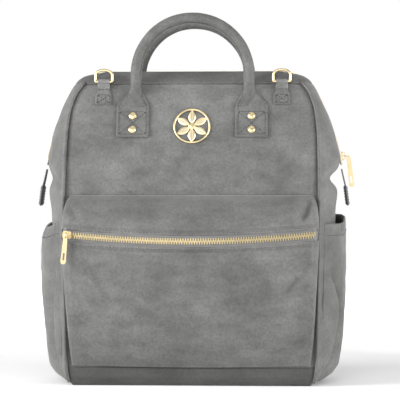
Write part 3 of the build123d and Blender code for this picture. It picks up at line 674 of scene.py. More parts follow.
def zip_point(x, across=0.0, out=0.0):
    """On the pouch zip: across is up from its middle, out is ahead of its tape."""
    slope = 2 * ZIP_RISE * x / ZIP_END**2
    lean = 2 * ZIP_BACK * x / ZIP_END**2
    n = Vector((lean, -1, 0)).normalized()
    t = Vector((1, lean, slope)).normalized()
    up = t.cross(n) * -1
    if up.z < 0:
        up = -up
    at = Vector((x, -(ZIP_OUT - ZIP_BACK * (x / ZIP_END) ** 2), zip_height(x)))
    return at + up * across + n * out, t, up, n


cols, rows = 110, 7
points = []
for r in range(rows):
    for c in range(cols):
        x = -ZIP_END + 2 * ZIP_END * c / (cols - 1)
        points.append(zip_point(x, -8.6 + 17.2 * r / (rows - 1), -1.0)[0])
tape = thicken(outward(make("pouch_tape", points, grid_faces(rows, cols), TAPE), (0, -60, 178)), 0.8)
put(tape, "bag", "tape", "pouch_zip_tape")


def teeth(name, places, reach, mat):
    """Zip teeth, each at a (point, along, across, out) of places, from the tape to past the middle."""
    verts, faces = [], []
    for at, t, a, n in places:
        base = len(verts)
        outline = ((-0.9, 0.60), (0.4, 0.56), (1.4, 0.68), (2.4, 0.74), (reach, 0.62))
        for h, grow in ((-0.9, 0.9), (0.25, 1.0), (0.8, 0.74)):
            ring = [(o, w * grow) for o, w in outline] + [(o, -w * grow) for o, w in reversed(outline)]
            for o, w in ring:
                verts.append(at + a * o + t * w + n * h)
        count = 10
        for j in range(2):
            for k in range(count):
                m = (k + 1) % count
                faces.append((base + j * count + k, base + j * count + m,
                              base + (j + 1) * count + m, base + (j + 1) * count + k))
        faces.append(tuple(base + 2 * count + k for k in range(count)))
        faces.append(tuple(base + k for k in range(count))[::-1])
    obj = make(name, verts, faces, mat, smooth=False)
    return obj


# a scrap of leather sewn behind each end of the zip closes the slot past the tape
for x_sign, side_name in ((-1, "left"), (1, "right")):
    rows, cols, points = 9, 12, []
    for r in range(rows):
        for c in range(cols):
            u = 0.80 + 0.10 * c / (cols - 1)
            z = zip_height(150) - 9 + 18 * r / (rows - 1)
            at = pouch_point(x_sign * u, z)
            points.append(at + Vector((-x_sign * 1.9 * ramp(u, 0.84, 0.9), 2.6, 0)))
    stop = make(f"pouch_zip_stop_{side_name}", points, grid_faces(rows, cols), LEATHER_PAINTED_HIGHLIGHT)
    put(thicken(outward(stop, (0, -60, 178)), 0.8), "bag", "leather")

PITCH = 3.0
places = []
for side in (-1, 1):
    x = -ZIP_END + 2.0 + (PITCH / 2 if side > 0 else 0)
    while x < ZIP_END - 2:
        at, t, up, n = zip_point(x, 0, 0.0)
        places.append((at - up * side * 0.2, t, up * side, n))
        x += PITCH
put(teeth("pouch_teeth", places, 3.8, GOLD), "bag", "gold", "pouch_zip_teeth")

seams = Stitches("stitches_pouch")
for side in (-1, 1):
    line = []
    for k in range(141):
        u = -0.845 + 1.69 * k / 140
        x = math.copysign(min(abs(u) / 0.86, 1.0) * 150, u)
        at = pouch_point(u, zip_height(x) + side * 9.8)
        at.y -= 0.25
        line.append(at)
    seams.add(line, (0, -1, 0))
put(seams.build(THREAD), "bag", "leather")

# ---- bottle pockets ----
BOTTLE_LEFT = np.array([(4, 5, 46), (12, 10, 52), (30, 12.5, 57), (60, 13.8, 61), (110, 15.2, 63),
                        (162, 16, 62.5), (178, 14, 61.5), (189, 9.5, 60.5), (197, 5, 60)], float)
BOTTLE_RIGHT = np.array([(4, 5, 46), (12, 10, 52), (30, 12.5, 57), (60, 13.8, 61), (110, 14.6, 63),
                         (170, 14, 62), (208, 12.5, 60)], float)


def side_surface(x_sign, y, z, out):
    """On the side wall at depth y and height z, stood off by out."""
    front, side, deep = smooth_rows(BODY, z)
    radius = ((side - front) ** 2 + deep * deep) / (2 * (side - front))
    return Vector((x_sign * (side - radius + math.sqrt(max(radius**2 - y * y, 0)) + out), y, z))


def valley(y, z, path, width):
    """1 along a fold through the (height, depth) points of path, fading beside it and at its ends."""
    heights, depths = [p[0] for p in path], [p[1] for p in path]
    middle = float(np.interp(z, heights, depths))
    ends = ramp(z, heights[0] - 8, heights[0] + 14) * (1 - ramp(z, heights[-1] - 22, heights[-1] + 8))
    return ends * math.exp(-(((y - middle) / width) ** 2))


def pocket_point(x_sign, v, f):
    """v runs from -1 at the front to 1 at the back of a bottle pocket, f from its foot to its rim."""
    right = x_sign > 0
    table = BOTTLE_RIGHT if right else BOTTLE_LEFT
    rim = 197 + 11 * ramp(v, -0.45, 0.35) if right else 196 + 3 * math.sin(v * 5)
    z = 4 + (rim - 4) * f
    out, half = smooth_rows(table, z)
    y = half * math.sin(v * math.pi / 2 * 0.98) / math.sin(math.pi / 2 * 0.98)
    swell = (1 - min(abs(y / half), 1) ** 2.6) ** 0.75
    d = out * swell
    gather = ramp(f, 0.88, 0.97) * (0.5 if right else 1.3)
    gathers = 1.1 * math.sin(y * 0.72 + 1.3 * math.sin(y * 0.21)) + 0.6 * fuzz(x_sign * 5, y, z, 9, 4.0)
    slack = 1.4 * fuzz(x_sign * 9, y, z * 0.45, 26, 51.0) + 0.6 * fuzz(x_sign * 9, y, z, 13, 52.0)
    d += gathers * gather * swell
    d += slack * swell * ramp(z, 8, 50)
    if right:
        d -= 7.5 * valley(y, z, [(10, -50), (34, -37), (80, -26), (104, -31), (146, -54)], 5.5)
        d -= 2.5 * valley(y, z, [(20, 40), (80, 30), (150, 38)], 7)
    else:
        d -= 7.0 * valley(y, z, [(14, -47), (50, -42), (92, -45), (150, -54)], 6.0)
        d -= 2.5 * valley(y, z, [(20, 36), (80, 44), (150, 34)], 7)
    return side_surface(x_sign, y, z, 0.5 + max(d, 0))


for x_sign, side_name in ((-1, "left"), (1, "right")):
    rows, cols = 74, 120
    points = [pocket_point(x_sign, -1 + 2 * c / (cols - 1), r / (rows - 1))
              for r in range(rows) for c in range(cols)]
    pocket = make(f"bottle_pocket_{side_name}_leather", points, grid_faces(rows, cols), LEATHER)
    put(thicken(outward(pocket, (x_sign * 120, 0, 100)), 1.8), "bag", "leather", f"bottle_pocket_{side_name}")
    hem = Stitches(f"stitches_pocket_{side_name}")
    lift = Vector((x_sign * 0.2, 0, 0))
    line = [pocket_point(x_sign, -0.93 + 1.86 * k / 60, 0.925) + lift for k in range(61)]
    hem.add(line, lambda p: (x_sign, p.y / 60, 0))
    put(hem.build(THREAD), "bag", "leather")

# ---- piping ----
for sign, half, body in ((-1, "front", "front_mouth"), (1, "back", "back_mouth")):
    for x_sign, side_name in ((-1, "left"), (1, "right")):
        path = []
        for k in range(90):
            z = STRIP - 19 + (SEAM + 1.5 - STRIP + 19) * k / 89
            front, side, deep = smooth_rows(BODY, z)
            path.append((x_sign * (front + 0.9), sign * (deep + 0.9), z))
        bead = tube(f"piping_{half}_{side_name}", path, 2.0, LEATHER_PAINTED_HIGHLIGHT, 12, (0, sign, 0),
                    shape=lambda a, f: 1.0 + 0.05 * noise.noise(Vector((f * 90, a, 0))))
        mouth_weights(bead)
        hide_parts(f"{half}_piping", *(["piping_lower"] if sign < 0 and x_sign < 0 else []))
    # the band's seam over the top
    path = []
    for k in range(121):
        p = -1 + 2 * k / 120
        at, n = plan_point(p, SEAM + 0.4)
        at = at + n * 0.6
        path.append((at.x, -sign * at.y, at.z + 0.3))
    put(tube(f"piping_{half}_top", path, 1.2, LEATHER_PAINTED_HIGHLIGHT, 8, (0, sign, 0.3)), body, "leather")

# ---- mouth zip ----
ARCH = [(math.sqrt(311.81**2 - (z - 214.9) ** 2) - 121.57, z) for z in (270, 282, 300, 320, 340, 355)]
ARCH += [(150.6, 366.3), (141.5, 376.5), (129, 382.8), (114, 386), (90, 386.4), (50, 386.4), (0, 386.4)]
arch_half = spline([(x, 0, z) for x, z in ARCH], 8)
arch = [Vector((-p.x, p.y, p.z)) for p in arch_half] + [p.copy() for p in reversed(arch_half[:-1])]
arch = resample(arch, 1.5)
for sign, half, body in ((-1, "front", "front_mouth"), (1, "back", "back_mouth")):
    frames = []
    for i, p in enumerate(arch):
        t = (arch[min(i + 1, len(arch) - 1)] - arch[max(i - 1, 0)]).normalized()
        n = t.cross(Vector((0, 1, 0)))
        if n.dot(p - Vector((0, 0, 300))) < 0:
            n = -n
        frames.append((p, t, n))
    points = []
    for y in (0.4, 2.0, 4.0, 6.2, 8.6, 10.5):
        for p, t, n in frames:
            foot = ramp(p.z, 268, 282)
            yy = y * (0.5 + 0.5 * foot)
            points.append(p + Vector((0, sign * yy, 0)) - n * (1.2 + 0.05 * max(yy - 4, 0) ** 1.6))
    tape = outward(make(f"mouth_tape_{half}", points, grid_faces(6, len(frames)), TAPE), (0, 0, 300))
    put(thicken(tape, 0.8), body, "tape", f"{half}_zip_tape")
    places, walked, last = [], 0.0, frames[0][0]
    nxt = 2.0 + (PITCH / 2 if sign > 0 else 0)
    for p, t, n in frames:
        walked += (p - last).length
        last = p
        if walked >= nxt:
            places.append((p + Vector((0, sign * 0.45, 0)) - n * 0.4, t, Vector((0, sign, 0)), n))
            nxt += PITCH
    put(teeth(f"mouth_teeth_{half}", places, 3.0, GOLD), body, "gold", f"{half}_zip_teeth")

for x_sign, side_name in ((-1, "left"), (1, "right")):
    rows, cols, points = 14, 9, []
    for r in range(rows):
        f = r / (rows - 1)
        x = 184.8 + 4.8 * f**1.1
        z = 264.5 - 21.5 * f
        for c in range(cols):
            y = -9 + 18 * c / (cols - 1)
            points.append((x_sign * (x + 0.8 * math.cos(y / 9 * 1.4) - 0.4), y * (0.72 + 0.28 * f), z))
    tail = make(f"zip_tail_{side_name}_tape", points, grid_faces(rows, cols), TAPE)
    put(thicken(tail, 1.0, 0), "bag", "tape", f"zip_tail_{side_name}")
    # end tab: a folded leather square, stitched round
    rows, cols = 16, 16
    faces, points = [], []
    for layer in (0, 1):
        for r in range(rows):
            f = r / (rows - 1)
            for c in range(cols):
                g = c / (cols - 1)
                y = -10.5 + 21 * g
                edge = min(f, 1 - f, g, 1 - g)
                fat = 1.9 * (1 - (1 - min(edge / 0.12, 1)) ** 2) ** 0.5
                cx = 189.0 + 3.3 * f
                points.append((x_sign * (cx + (fat if layer else -fat)), y, 244.6 - 26 * f))
        faces += grid_faces(rows, cols, flip=bool(layer), start=layer * rows * cols)
    tab = make(f"zip_end_tab_{side_name}_leather", points, faces, LEATHER_DARK)
    put(outward(tab, (x_sign * 190.5, 0, 231)), "bag", "leather", f"zip_end_tab_{side_name}")
    sew = Stitches(f"stitches_end_tab_{side_name}")
    for face in (-1, 1):
        corners = [(189.3, -8.2, 242), (192.0, -8.2, 221), (192.0, 8.2, 221), (189.3, 8.2, 242)]
        corners = [Vector((x_sign * (x + face * 1.9), y, z)) for x, y, z in corners + corners[:1]]
        for a, b in zip(corners, corners[1:]):
            sew.add([a, b], (x_sign * face, 0, 0), 2.6, 0.9, 0.3)
    put(sew.build(THREAD), "bag", "leather")

# ---- patches, rivets, rings, handles ----
def slope_frame(z, sign):
    """The panel's surface at height z: its depth and its outward direction."""
    a, b = smooth_rows(BODY, z - 3)[2], smooth_rows(BODY, z + 3)[2]
    deep = smooth_rows(BODY, z)[2]
    n = Vector((0, sign * 6, a - b)).normalized()
    return deep, n


def on_panel(x, z, sign, out):
    deep, n = slope_frame(z, sign)
    p = min(abs(x) / smooth_rows(BODY, z)[0], 1.0)
    bulge = wall_relief(min(p, 0.99), abs(x), -deep, z, sign)
    return Vector((x, sign * (deep + bulge), z)) + n * out


def patch(name, outline, sign, thick, mat):
    """A leather patch. outline is its lowest and highest z, and a function from z to its left and right x."""
    rows, cols = 60, 22
    (z0, z1), sides = outline
    faces, points = [], []
    for layer in (0, 1):
        for r in range(rows):
            f = r / (rows - 1)
            z = z0 + (z1 - z0) * f
            left, right = sides(z)
            for c in range(cols):
                g = c / (cols - 1)
                g = 0.5 - 0.5 * math.cos(math.pi * g)
                x = left + (right - left) * g
                edge = min((x - left), (right - x), (z - z0) * 1.0)
                fall = 1 - (1 - min(edge / 1.6, 1)) ** 2
                h = 0.35 if layer == 0 else 0.5 + (thick - 0.5) * (0.45 + 0.55 * fall)
                points.append(on_panel(x, z, sign, h))
        faces += grid_faces(rows, cols, flip=bool(layer), start=layer * rows * cols)
    faces += rim_faces(rows, cols)
    obj = make(name, points, faces, mat)
    obj.data.validate()
    return obj


def tab_sides(x):
    neck = 70.0 if x > 0 else -70.0

    def sides(z):
        f = ramp(z, 339, 364.5)
        half = 20 - 13.4 * f
        centre = x + (neck - x) * f
        return centre - half, centre + half

    return sides


def box_stitch(target, x, z0, z1, half, sign, out, margin=3.4):
    def at(px, pz):
        return on_panel(px, pz, sign, out)

    n = (0, sign, 0.35)
    a, b = x - half + margin, x + half - margin
    low, high = z0 + margin, z1

    def run(x0, za, x1, zb):
        return [at(x0 + (x1 - x0) * k / 12, za + (zb - za) * k / 12) for k in range(13)]

    for seg in ((a, low, b, low), (a, high, b, high), (a, low, a, high), (b, low, b, high),
                (a, low, b, high), (a, high, b, low)):
        target.add(run(*seg), n, 2.8, 1.0, 0.40, 0.28)


def dome(name, centre, normal, radius, height, mat, rings=9, sides=32, groove=True):
    """A domed stud head with a turned groove, standing on a surface."""
    n = Vector(normal).normalized()
    s = n.orthogonal().normalized()
    u = n.cross(s)
    profile = [(radius * 0.98, -0.5), (radius, 0.0), (radius * 0.98, height * 0.35),
               (radius * 0.9, height * 0.62)]
    if groove:
        profile += [(radius * 0.76, height * 0.70), (radius * 0.70, height * 0.58),
                    (radius * 0.64, height * 0.70)]
    profile += [(radius * 0.5, height * 0.86), (radius * 0.28, height * 0.97), (0.01, height)]
    verts = []
    for r, h in profile:
        for k in range(sides):
            a = 2 * math.pi * k / sides
            verts.append(Vector(centre) + n * h + s * (r * math.cos(a)) + u * (r * math.sin(a)))
    faces = grid_faces(len(profile), sides, loop=True) + [tuple(range(sides))[::-1]]
    return make(name, verts, faces, mat)


def join(name, objects):
    """One object from several, keeping their materials."""
    with bpy.context.temp_override(active_object=objects[0], selected_objects=objects,
                                   selected_editable_objects=objects):
        bpy.ops.object.join()
    objects[0].name = name
    return objects[0]


def handle_tube(name, sign):
    """The rolled handle, with a seam ridge inside the arch; each foot spreads flat over its patch."""
    leg = []
    for z in (341, 344, 347, 350, 353, 356, 359, 362, 365, 368, 371, 374, 377):
        f = ramp(z, 338, 371)
        wide = 6.6 + 11.0 * (1 - ramp(z, 334, 368)) ** 1.3
        thick = 0.8 + 5.8 * f**1.4
        skin = smooth_rows(BODY, z)[2] + 3.3
        depth = 34.5 + (skin - 34.5 + 0.4 - 0.2 * thick) * (1 - ramp(z, 346, 372))
        leg.append((73 - 3 * ramp(z, 341, 364), depth, z, wide, thick))
    stations = [(Vector((-x, sign * y, z)), w, h) for x, y, z, w, h in leg]
    stations += [(Vector((-70 * math.cos(a), sign * 34.5, 380.5 + 70 * math.sin(a))), 6.6, 6.6)
                 for a in [math.pi * k / 90 for k in range(91)]]
    stations += [(Vector((x, sign * y, z)), w, h) for x, y, z, w, h in reversed(leg)]
    sides, verts, path = 36, [], []
    count = len(stations)
    for i, (p, wide, thick) in enumerate(stations):
        t = (stations[min(i + 1, count - 1)][0] - stations[max(i - 1, 0)][0]).normalized()
        inward = Vector((0, p.y, 378)) - p
        inward = (inward - t * inward.dot(t)).normalized()
        side = t.cross(inward)
        sway = Vector((0, 0.5 * fuzz(p.x, 0, p.z, 60, 9.0), 0.6 * fuzz(p.x, 0, p.z, 70, 8.0)))
        p = p + sway * ramp(p.z, 370, 390)
        path.append(p)
        rolled = ramp(p.z, 362, 380)
        for k in range(sides):
            a = 2 * math.pi * k / sides
            near = math.exp(-((min(a, 2 * math.pi - a) / 0.16) ** 2))
            groove = math.exp(-(((min(a, 2 * math.pi - a) - 0.42) / 0.13) ** 2))
            swell = 1 + (0.10 * near - 0.05 * groove) * rolled
            soft = 0.2 * fuzz(p.x + 30 * math.cos(a), 30 * math.sin(a), p.z, 13, 1.0) * rolled
            across, along = (wide * swell + soft) * math.cos(a), (thick * swell + soft) * math.sin(a)
            verts.append(p + inward * across + side * along)
    faces = grid_faces(count, sides, loop=True)
    faces += [tuple(range(sides))[::-1], tuple((count - 1) * sides + k for k in range(sides))]
    return make(name, verts, faces, LEATHER_HANDLE_PAINTED_SHADE), path


for sign, half, body in ((-1, "front", "front_mouth"), (1, "back", "back_mouth")):
    patches, sew = [], Stitches(f"stitches_{half}_patches")
    for x in (-73.0, 73.0):
        outline = ((302.0, 364.5), tab_sides(x))
        patches.append(patch(f"patch_{half}_{int(x)}", outline, sign, 3.0, LEATHER_TAB))
        box_stitch(sew, x, 302, 333, 20, sign, 3.05)
        # a second seam follows the patch's taper
        for s in (-1, 1):
            line = []
            for k in range(20):
                z = 335 + 24 * k / 19
                left, right = tab_sides(x)(z)
                line.append(on_panel(left + 3.2 if s < 0 else right - 3.2, z, sign, 3.0))
            sew.add(line, (0, sign, 0.35), 2.7, 0.9, 0.32)
    put(join(f"handle_patches_{half}", patches), body, "leather", f"{half}_handle_tabs")
    loops = []
    for x in (-110.0, 110.0):
        def ring_sides(z, x=x):
            w = 10.2 - 2.6 * ramp(z, 354, 362)
            return x - w, x + w

        outline = ((343.0, 368.0), ring_sides)
        loops.append(patch(f"ring_patch_{half}_{int(x)}", outline, sign, 2.8, LEATHER_TAB))
        # the fold round the ring's bar
        fold, cols = [], 12
        for r in range(25):
            a = -0.5 * math.pi + 2 * math.pi * r / 24
            for c in range(cols):
                xx = x - 7.4 + 14.8 * c / (cols - 1)
                fold.append((xx, sign * (31 + 3.1 * math.cos(a)), 372 + 3.1 * math.sin(a)))
        fold = make(f"fold_{half}_{int(x)}", fold, grid_faces(25, cols), LEATHER_TAB)
        loops.append(thicken(outward(fold, (x, sign * 31, 372)), 1.2))
        neck = []
        for r in range(8):
            f = r / 7
            for c in range(cols):
                xx = x - 7.5 + 15 * c / (cols - 1)
                neck.append((xx, sign * (33.0 - 0.4 * f + (1 - f) * 0.9), 363.5 + 6.0 * f))
        neck = make(f"neck_{half}_{int(x)}", neck, grid_faces(8, cols), LEATHER_TAB)
        loops.append(thicken(outward(neck, (x, sign * 20, 366)), 4.0))
        box_stitch(sew, x, 342.0, 354.5, 10, sign, 2.9, 2.4)
    put(join(f"ring_patches_{half}", loops), body, "leather", f"{half}_ring_tabs")
    put(sew.build(THREAD), body, "leather")
    studs = []
    for x in (-73.0, 73.0):
        for z in (311.0, 328.0):
            _, n = slope_frame(z, sign)
            at = f"{half}_{int(x)}_{int(z)}"
            studs.append(dome(f"stud_{at}", on_panel(x, z, sign, 3.1), n, 4.7, 2.1, GOLD))
            studs.append(dome(f"cap_{at}", on_panel(x, z, sign, -3.4), -n, 4.0, 0.9, GOLD, groove=False))
    put(join(f"rivets_{half}", studs), body, "gold", f"{half}_rivets")

    grip, path = handle_tube(f"handle_{half}", sign)
    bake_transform(grip)
    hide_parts(f"{half}_handle")
    sew = Stitches(f"stitches_handle_{half}")
    y = sign * 34.5
    for off in (-0.52, 0.52):
        line = []
        for i in range(1, len(path) - 1):
            p = path[i]
            if p.z < 382:
                continue
            t = (path[i + 1] - path[i - 1]).normalized()
            inward = Vector((0, y, 378)) - p
            inward = (inward - t * inward.dot(t)).normalized()
            side = t.cross(inward)
            line.append(p + (inward * math.cos(off) + side * math.sin(off)) * 6.55)
        sew.add(line, lambda p, y=y: (Vector((0, y, 378)) - p), 3.0, 1.0, 0.3)
    put(sew.build(THREAD), f"{half}_grip", "leather")
    for lr, x in (("left", -110.0), ("right", 110.0)):
        y = sign * 31.0
        pts = []
        for k in range(16):
            pts.append((x - 8.5 + 17 * k / 15, y, 372))
        for a in [k / 6 for k in range(1, 7)]:
            pts.append((x + 8.5 + 2 * math.sin(a * math.pi / 2), y, 374 - 2 * math.cos(a * math.pi / 2)))
        pts += [(x + 10.5, y, z) for z in (376, 378, 380)]
        for k in range(1, 24):
            a = math.pi * k / 24
            pts.append((x + 10.5 * math.cos(a), y, 380 + 6.5 * math.sin(a)))
        pts += [(x - 10.5, y, z) for z in (380, 378, 376)]
        for a in [k / 6 for k in range(0, 6)]:
            pts.append((x - 8.5 - 2 * math.cos(a * math.pi / 2), y, 374 - 2 * math.sin(a * math.pi / 2)))
        ring = tube(f"ring_{half}_{lr}_gold", pts, 1.7, GOLD, 14, (0, 1, 0), closed=True)
        put(ring, f"ring_{half}_{lr}", "gold", f"{half}_ring_{lr}")

# ---- medallion: a rim and a six-petal rosette ----
deep, n = slope_frame(316.0, -1)
centre = on_panel(0, 316, -1, 0.5)
up = Vector((0, -n.z, n.y)).normalized()
up = up if up.z > 0 else -up
right = up.cross(n) if up.cross(n).x > 0 else n.cross(up)


def medal(x, z, h):
    return centre + right * x + up * z + n * h


turns = [2 * math.pi * k / 96 for k in range(96)]
rim = [medal(21.6 * math.cos(a), 21.6 * math.sin(a), 0.8) for a in turns]
petals = [tube("medal_rim", rim, 1.25, GOLD, 12, n, closed=True)]
for k in range(6):
    a = math.radians(30 + 60 * k)
    d, s = (math.cos(a), math.sin(a)), (-math.sin(a), math.cos(a))
    rows, cols, points = 30, 13, []
    for r in range(rows):
        t = r / (rows - 1)
        length = 3.2 + 17.6 * t
        w = 4.6 * math.sin(math.pi * min(max(t, 0.02), 0.98)) ** 0.75
        for c in range(cols):
            q = -1 + 2 * c / (cols - 1)
            h = 0.3 + 1.3 * (1 - q * q) ** 0.5 - 0.45 * math.exp(-((q / 0.12) ** 2))
            points.append(medal(d[0] * length + s[0] * w * q, d[1] * length + s[1] * w * q, h))
    petals.append(make(f"medal_petal_{k}", points, grid_faces(rows, cols), GOLD_BRUSHED))
petals.append(dome("medal_hub", medal(0, 0, 0.2), n, 4.6, 2.0, GOLD))
put(join("medallion_rosette", petals), "front_mouth", "gold", "medallion")

# ---- metal pieces kept from the frame ----
for name in ("pouch_slider", "pouch_pull", "pouch_pull_ring", "mouth_slider", "mouth_pull", "mouth_pull_ring",
             "adjuster_left", "adjuster_right"):
    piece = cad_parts[name]
    piece.data.materials.clear()
    piece.data.materials.append(GOLD)
    for polygon in piece.data.polygons:
        polygon.material_index = 0
    edge = piece.modifiers.new("edge", "BEVEL")
    edge.width, edge.segments, edge.limit_method = 0.22 * MM, 2, "ANGLE"

# ---- straps on the back ----
STRAP = [(25.5, 316), (27, 296), (56, 244), (90, 186), (103, 130), (107, 108)]


def back_surface(x, z, out):
    deep = smooth_rows(BODY, z)[2]
    bulge = wall_relief(min(abs(x) / smooth_rows(BODY, z)[0], 0.99), abs(x), -deep, z, 1)
    return Vector((x, deep + max(bulge, 0) + out, z))


for x_sign, side_name in ((-1, "left"), (1, "right")):
    line = resample(spline([(x, 0, z) for x, z in STRAP], 16), 3.0)
    count, around, verts = len(line), 44, []
    for i, p in enumerate(line):
        t = (line[min(i + 1, count - 1)] - line[max(i - 1, 0)]).normalized()
        side = Vector((-t.z, 0, t.x))
        end = min(i, count - 1 - i) * 3.0
        cap = 1 - (1 - min(end / 9.0, 1)) ** 2 * 0.65
        for k in range(around):
            a = 2 * math.pi * k / around
            ca, sa = math.cos(a), math.sin(a)
            w = 22.6 * math.copysign(abs(ca) ** 0.42, ca)
            h = 4.4 * math.copysign(abs(sa) ** 0.7, sa) * cap
            edge = abs(w) / 22.6
            h *= 1 - 0.42 * ramp(edge, 0.72, 0.9) + 0.30 * ramp(edge, 0.9, 0.97)
            if sa > 0:
                h += 0.5 * fuzz(p.x + w, 0, p.z, 26, 61.0) + 0.35 * math.sin(i * 0.33) * (1 - edge)
            at = p + side * w
            verts.append(back_surface(x_sign * at.x, at.z, 4.9 + h))
    faces = grid_faces(count, around, loop=True) + [tuple(range(around))[::-1],
                                                    tuple((count - 1) * around + k for k in range(around))]
    strap = make(f"strap_{side_name}_padded", verts, faces, LEATHER)
    strap.data.validate()
    corners = strap.data.vertices
    outward(strap, tuple(c / MM for c in (sum((v.co for v in corners), Vector()) / len(corners))))
    mouth_weights(strap)
    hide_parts(f"strap_{side_name}")
    sew = Stitches(f"stitches_strap_{side_name}")
    for off in (-18.0, 18.0):
        seam = []
        for i in range(2, count - 2):
            p = line[i]
            t = (line[i + 1] - line[i - 1]).normalized()
            at = p + Vector((-t.z, 0, t.x)) * off
            seam.append(back_surface(x_sign * at.x, at.z, 4.9 + 4.4 * 0.60))
        sew.add(seam, (0, 1, 0.2), 3.2, 1.1, 0.34, 0.3)
    sewn = sew.build(THREAD)
    mouth_weights(sewn)

# yoke over the straps' tops
rows, cols, faces, points = 26, 60, [], []
for layer in (0, 1):
    for r in range(rows):
        z = 305 + 28 * r / (rows - 1)
        for c in range(cols):
            x = -50.5 + 101 * c / (cols - 1)
            ride_up = (1 - ramp(z, 314, 331)) * (1 - ramp(abs(x), 46.5, 50.5))
            edge = min(x + 50.5, 50.5 - x, z - 305, 333 - z)
            fall = 1 - (1 - min(edge / 1.6, 1)) ** 2
            h = 0.6 + 9.6 * ride_up + (0 if layer == 0 else 0.4 + 2.0 * (0.4 + 0.6 * fall))
            points.append(back_surface(x, z, h))
    faces += grid_faces(rows, cols, flip=bool(layer), start=layer * rows * cols)
faces += rim_faces(rows, cols)
put(make("strap_yoke_leather", points, faces, LEATHER_TAB), "back_mouth", "leather", "strap_yoke")
sew = Stitches("stitches_yoke")
for z in (308.6, 329.5):
    raised = 1 - ramp(z, 314, 331)
    sew.add([back_surface(x, z, 3.2 + 9.6 * raised * (1 - ramp(abs(x), 46.5, 50.5)))
             for x in range(-45, 46, 3)], (0, 1, 0.3), 2.9, 1.0, 0.33)
put(sew.build(THREAD), "back_mouth", "leather")

for x_sign, side_name in ((-1, "left"), (1, "right")):
    # webbing from the strap's end to the anchor
    rows, cols, points = 60, 15, []
    for r in range(rows):
        f = r / (rows - 1)
        cx, z = 107.6 + 9.8 * f, 106 - 64 * f
        for c in range(cols):
            g = -1 + 2 * c / (cols - 1)
            rib = 0.12 * math.sin(r * 2.1) + 0.1 * math.cos(g * 9)
            points.append(back_surface(x_sign * (cx + 12.4 * g), z + 1.8 * g, 0.8 + rib))
    web = outward(make(f"webbing_{side_name}", points, grid_faces(rows, cols), WEBBING), (0, 0, 90))
    put(thicken(web, 1.3), "bag", "webbing", *(["strap_webbing"] if x_sign < 0 else []))
    rows, cols, faces, points = 14, 24, [], []
    for layer in (0, 1):
        for r in range(rows):
            f = r / (rows - 1)
            z = 27 + 13 * f
            left, right_x = 106 - 2 * f, 140 - 9.0 * f
            for c in range(cols):
                x = left + (right_x - left) * c / (cols - 1)
                edge = min(x - left, right_x - x, z - 27, 40 - z)
                fall = 1 - (1 - min(edge / 1.4, 1)) ** 2
                points.append(back_surface(x_sign * x, z, 0.4 + (0 if layer == 0 else 2.0 + 2.0 * fall)))
        faces += grid_faces(rows, cols, flip=bool(layer), start=layer * rows * cols)
    faces += rim_faces(rows, cols)
    anchor = make(f"webbing_anchor_{side_name}", points, faces, LEATHER_TAB)
    put(anchor, "bag", "leather", *(["webbing_anchors"] if x_sign < 0 else []))
    sew = Stitches(f"stitches_anchor_{side_name}")
    corners = [(108.5, 29.5), (135, 29.5), (129.5, 37.6), (107, 37.6), (108.5, 29.5)]
    for a, b in zip(corners, corners[1:]):
        sew.add([back_surface(x_sign * (a[0] + (b[0] - a[0]) * k / 8), a[1] + (b[1] - a[1]) * k / 8, 4.4)
                 for k in range(9)], (0, 1, 0), 2.6, 0.9, 0.3)
    put(sew.build(THREAD), "bag", "leather")

# ---- floor, light, camera ----
floor_mat, tree, shader = material("studio_floor")
shader.inputs["Base Color"].default_value = (0.93, 0.93, 0.93, 1)
shader.inputs["Roughness"].default_value = 0.9
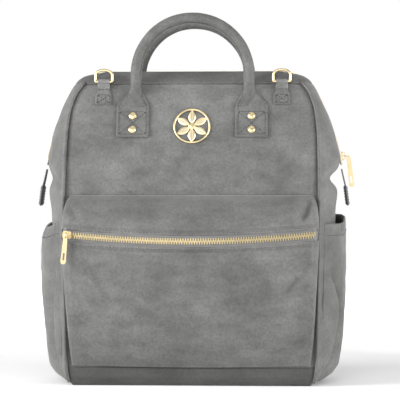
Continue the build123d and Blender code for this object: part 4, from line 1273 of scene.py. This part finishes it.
# the floor glows more with distance, a painted light that lifts its dimmer far part, so that it runs into the
# white behind the bag without an edge
place = node(tree, "ShaderNodeTexCoord").outputs["Object"]
far = node(tree, "ShaderNodeVectorMath")
far.operation = "LENGTH"
tree.links.new(place, far.inputs[0])
painted_glow_ramp = node(tree, "ShaderNodeMapRange")
painted_glow_ramp.inputs["From Min"].default_value, painted_glow_ramp.inputs["From Max"].default_value = 0.45, 1.2
tree.links.new(far.outputs["Value"], painted_glow_ramp.inputs["Value"])
shader.inputs["Emission Color"].default_value = (1, 1, 1, 1)
tree.links.new(painted_glow_ramp.outputs[0], shader.inputs["Emission Strength"])
bpy.ops.mesh.primitive_plane_add(size=7.0, location=(0, 0, 0))
floor = bpy.context.object
floor.name = "studio_floor"
floor.data.materials.append(floor_mat)

world = bpy.data.worlds.new("studio")
bpy.context.scene.world = world
world.use_nodes = True
sky = world.node_tree
# a white wall of light behind the bag, and a dimmer room in front of it
direction = node(sky, "ShaderNodeTexCoord").outputs["Generated"]
split = node(sky, "ShaderNodeSeparateXYZ")
sky.links.new(direction, split.inputs[0])
tone = colour_ramp(sky, split.outputs["Y"], [(0.4, (0.3, 0.3, 0.3)), (0.8, (1, 1, 1))])
sky.links.new(tone, sky.nodes["Background"].inputs[0])
sky.nodes["Background"].inputs[1].default_value = 1.0


def softbox(name, at, aim, size, power):
    light = bpy.data.lights.new(name, "AREA")
    light.shape, light.size, light.size_y, light.energy = "RECTANGLE", size[0], size[1], power
    obj = bpy.data.objects.new(name, light)
    bpy.context.scene.collection.objects.link(obj)
    obj.location = at
    obj.rotation_euler = (Vector(aim) - Vector(at)).to_track_quat("-Z", "Y").to_euler()
    return obj


softbox("left", (-1.8, -0.85, 0.8), (0, 0, 0.2), (0.9, 1.3), 58)
softbox("right", (1.85, -0.9, 0.6), (0, 0, 0.2), (0.9, 1.3), 44)
softbox("front", (-0.4, -2.6, 0.9), (0, 0, 0.2), (1.1, 1.1), 17)
softbox("top", (0.0, -0.9, 2.2), (0, -0.2, 0.2), (1.2, 0.6), 6)

view = bpy.context.scene.view_settings
view.view_transform, view.look, view.exposure, view.gamma = "Standard", "None", 0.0, 1.0

TURN = math.radians(2.6)
DISTANCE = 2.2
camera_data = bpy.data.cameras.new("camera")
camera_data.sensor_width, camera_data.lens = 36.0, 158.0
camera = bpy.data.objects.new("camera", camera_data)
bpy.context.scene.collection.objects.link(camera)
sideways = 0.0077
camera.location = (DISTANCE * math.sin(TURN) + sideways * math.cos(TURN),
                   -DISTANCE * math.cos(TURN) + sideways * math.sin(TURN), 0.2257)
camera.rotation_euler = (math.radians(90), 0, TURN)
bpy.context.scene.camera = camera
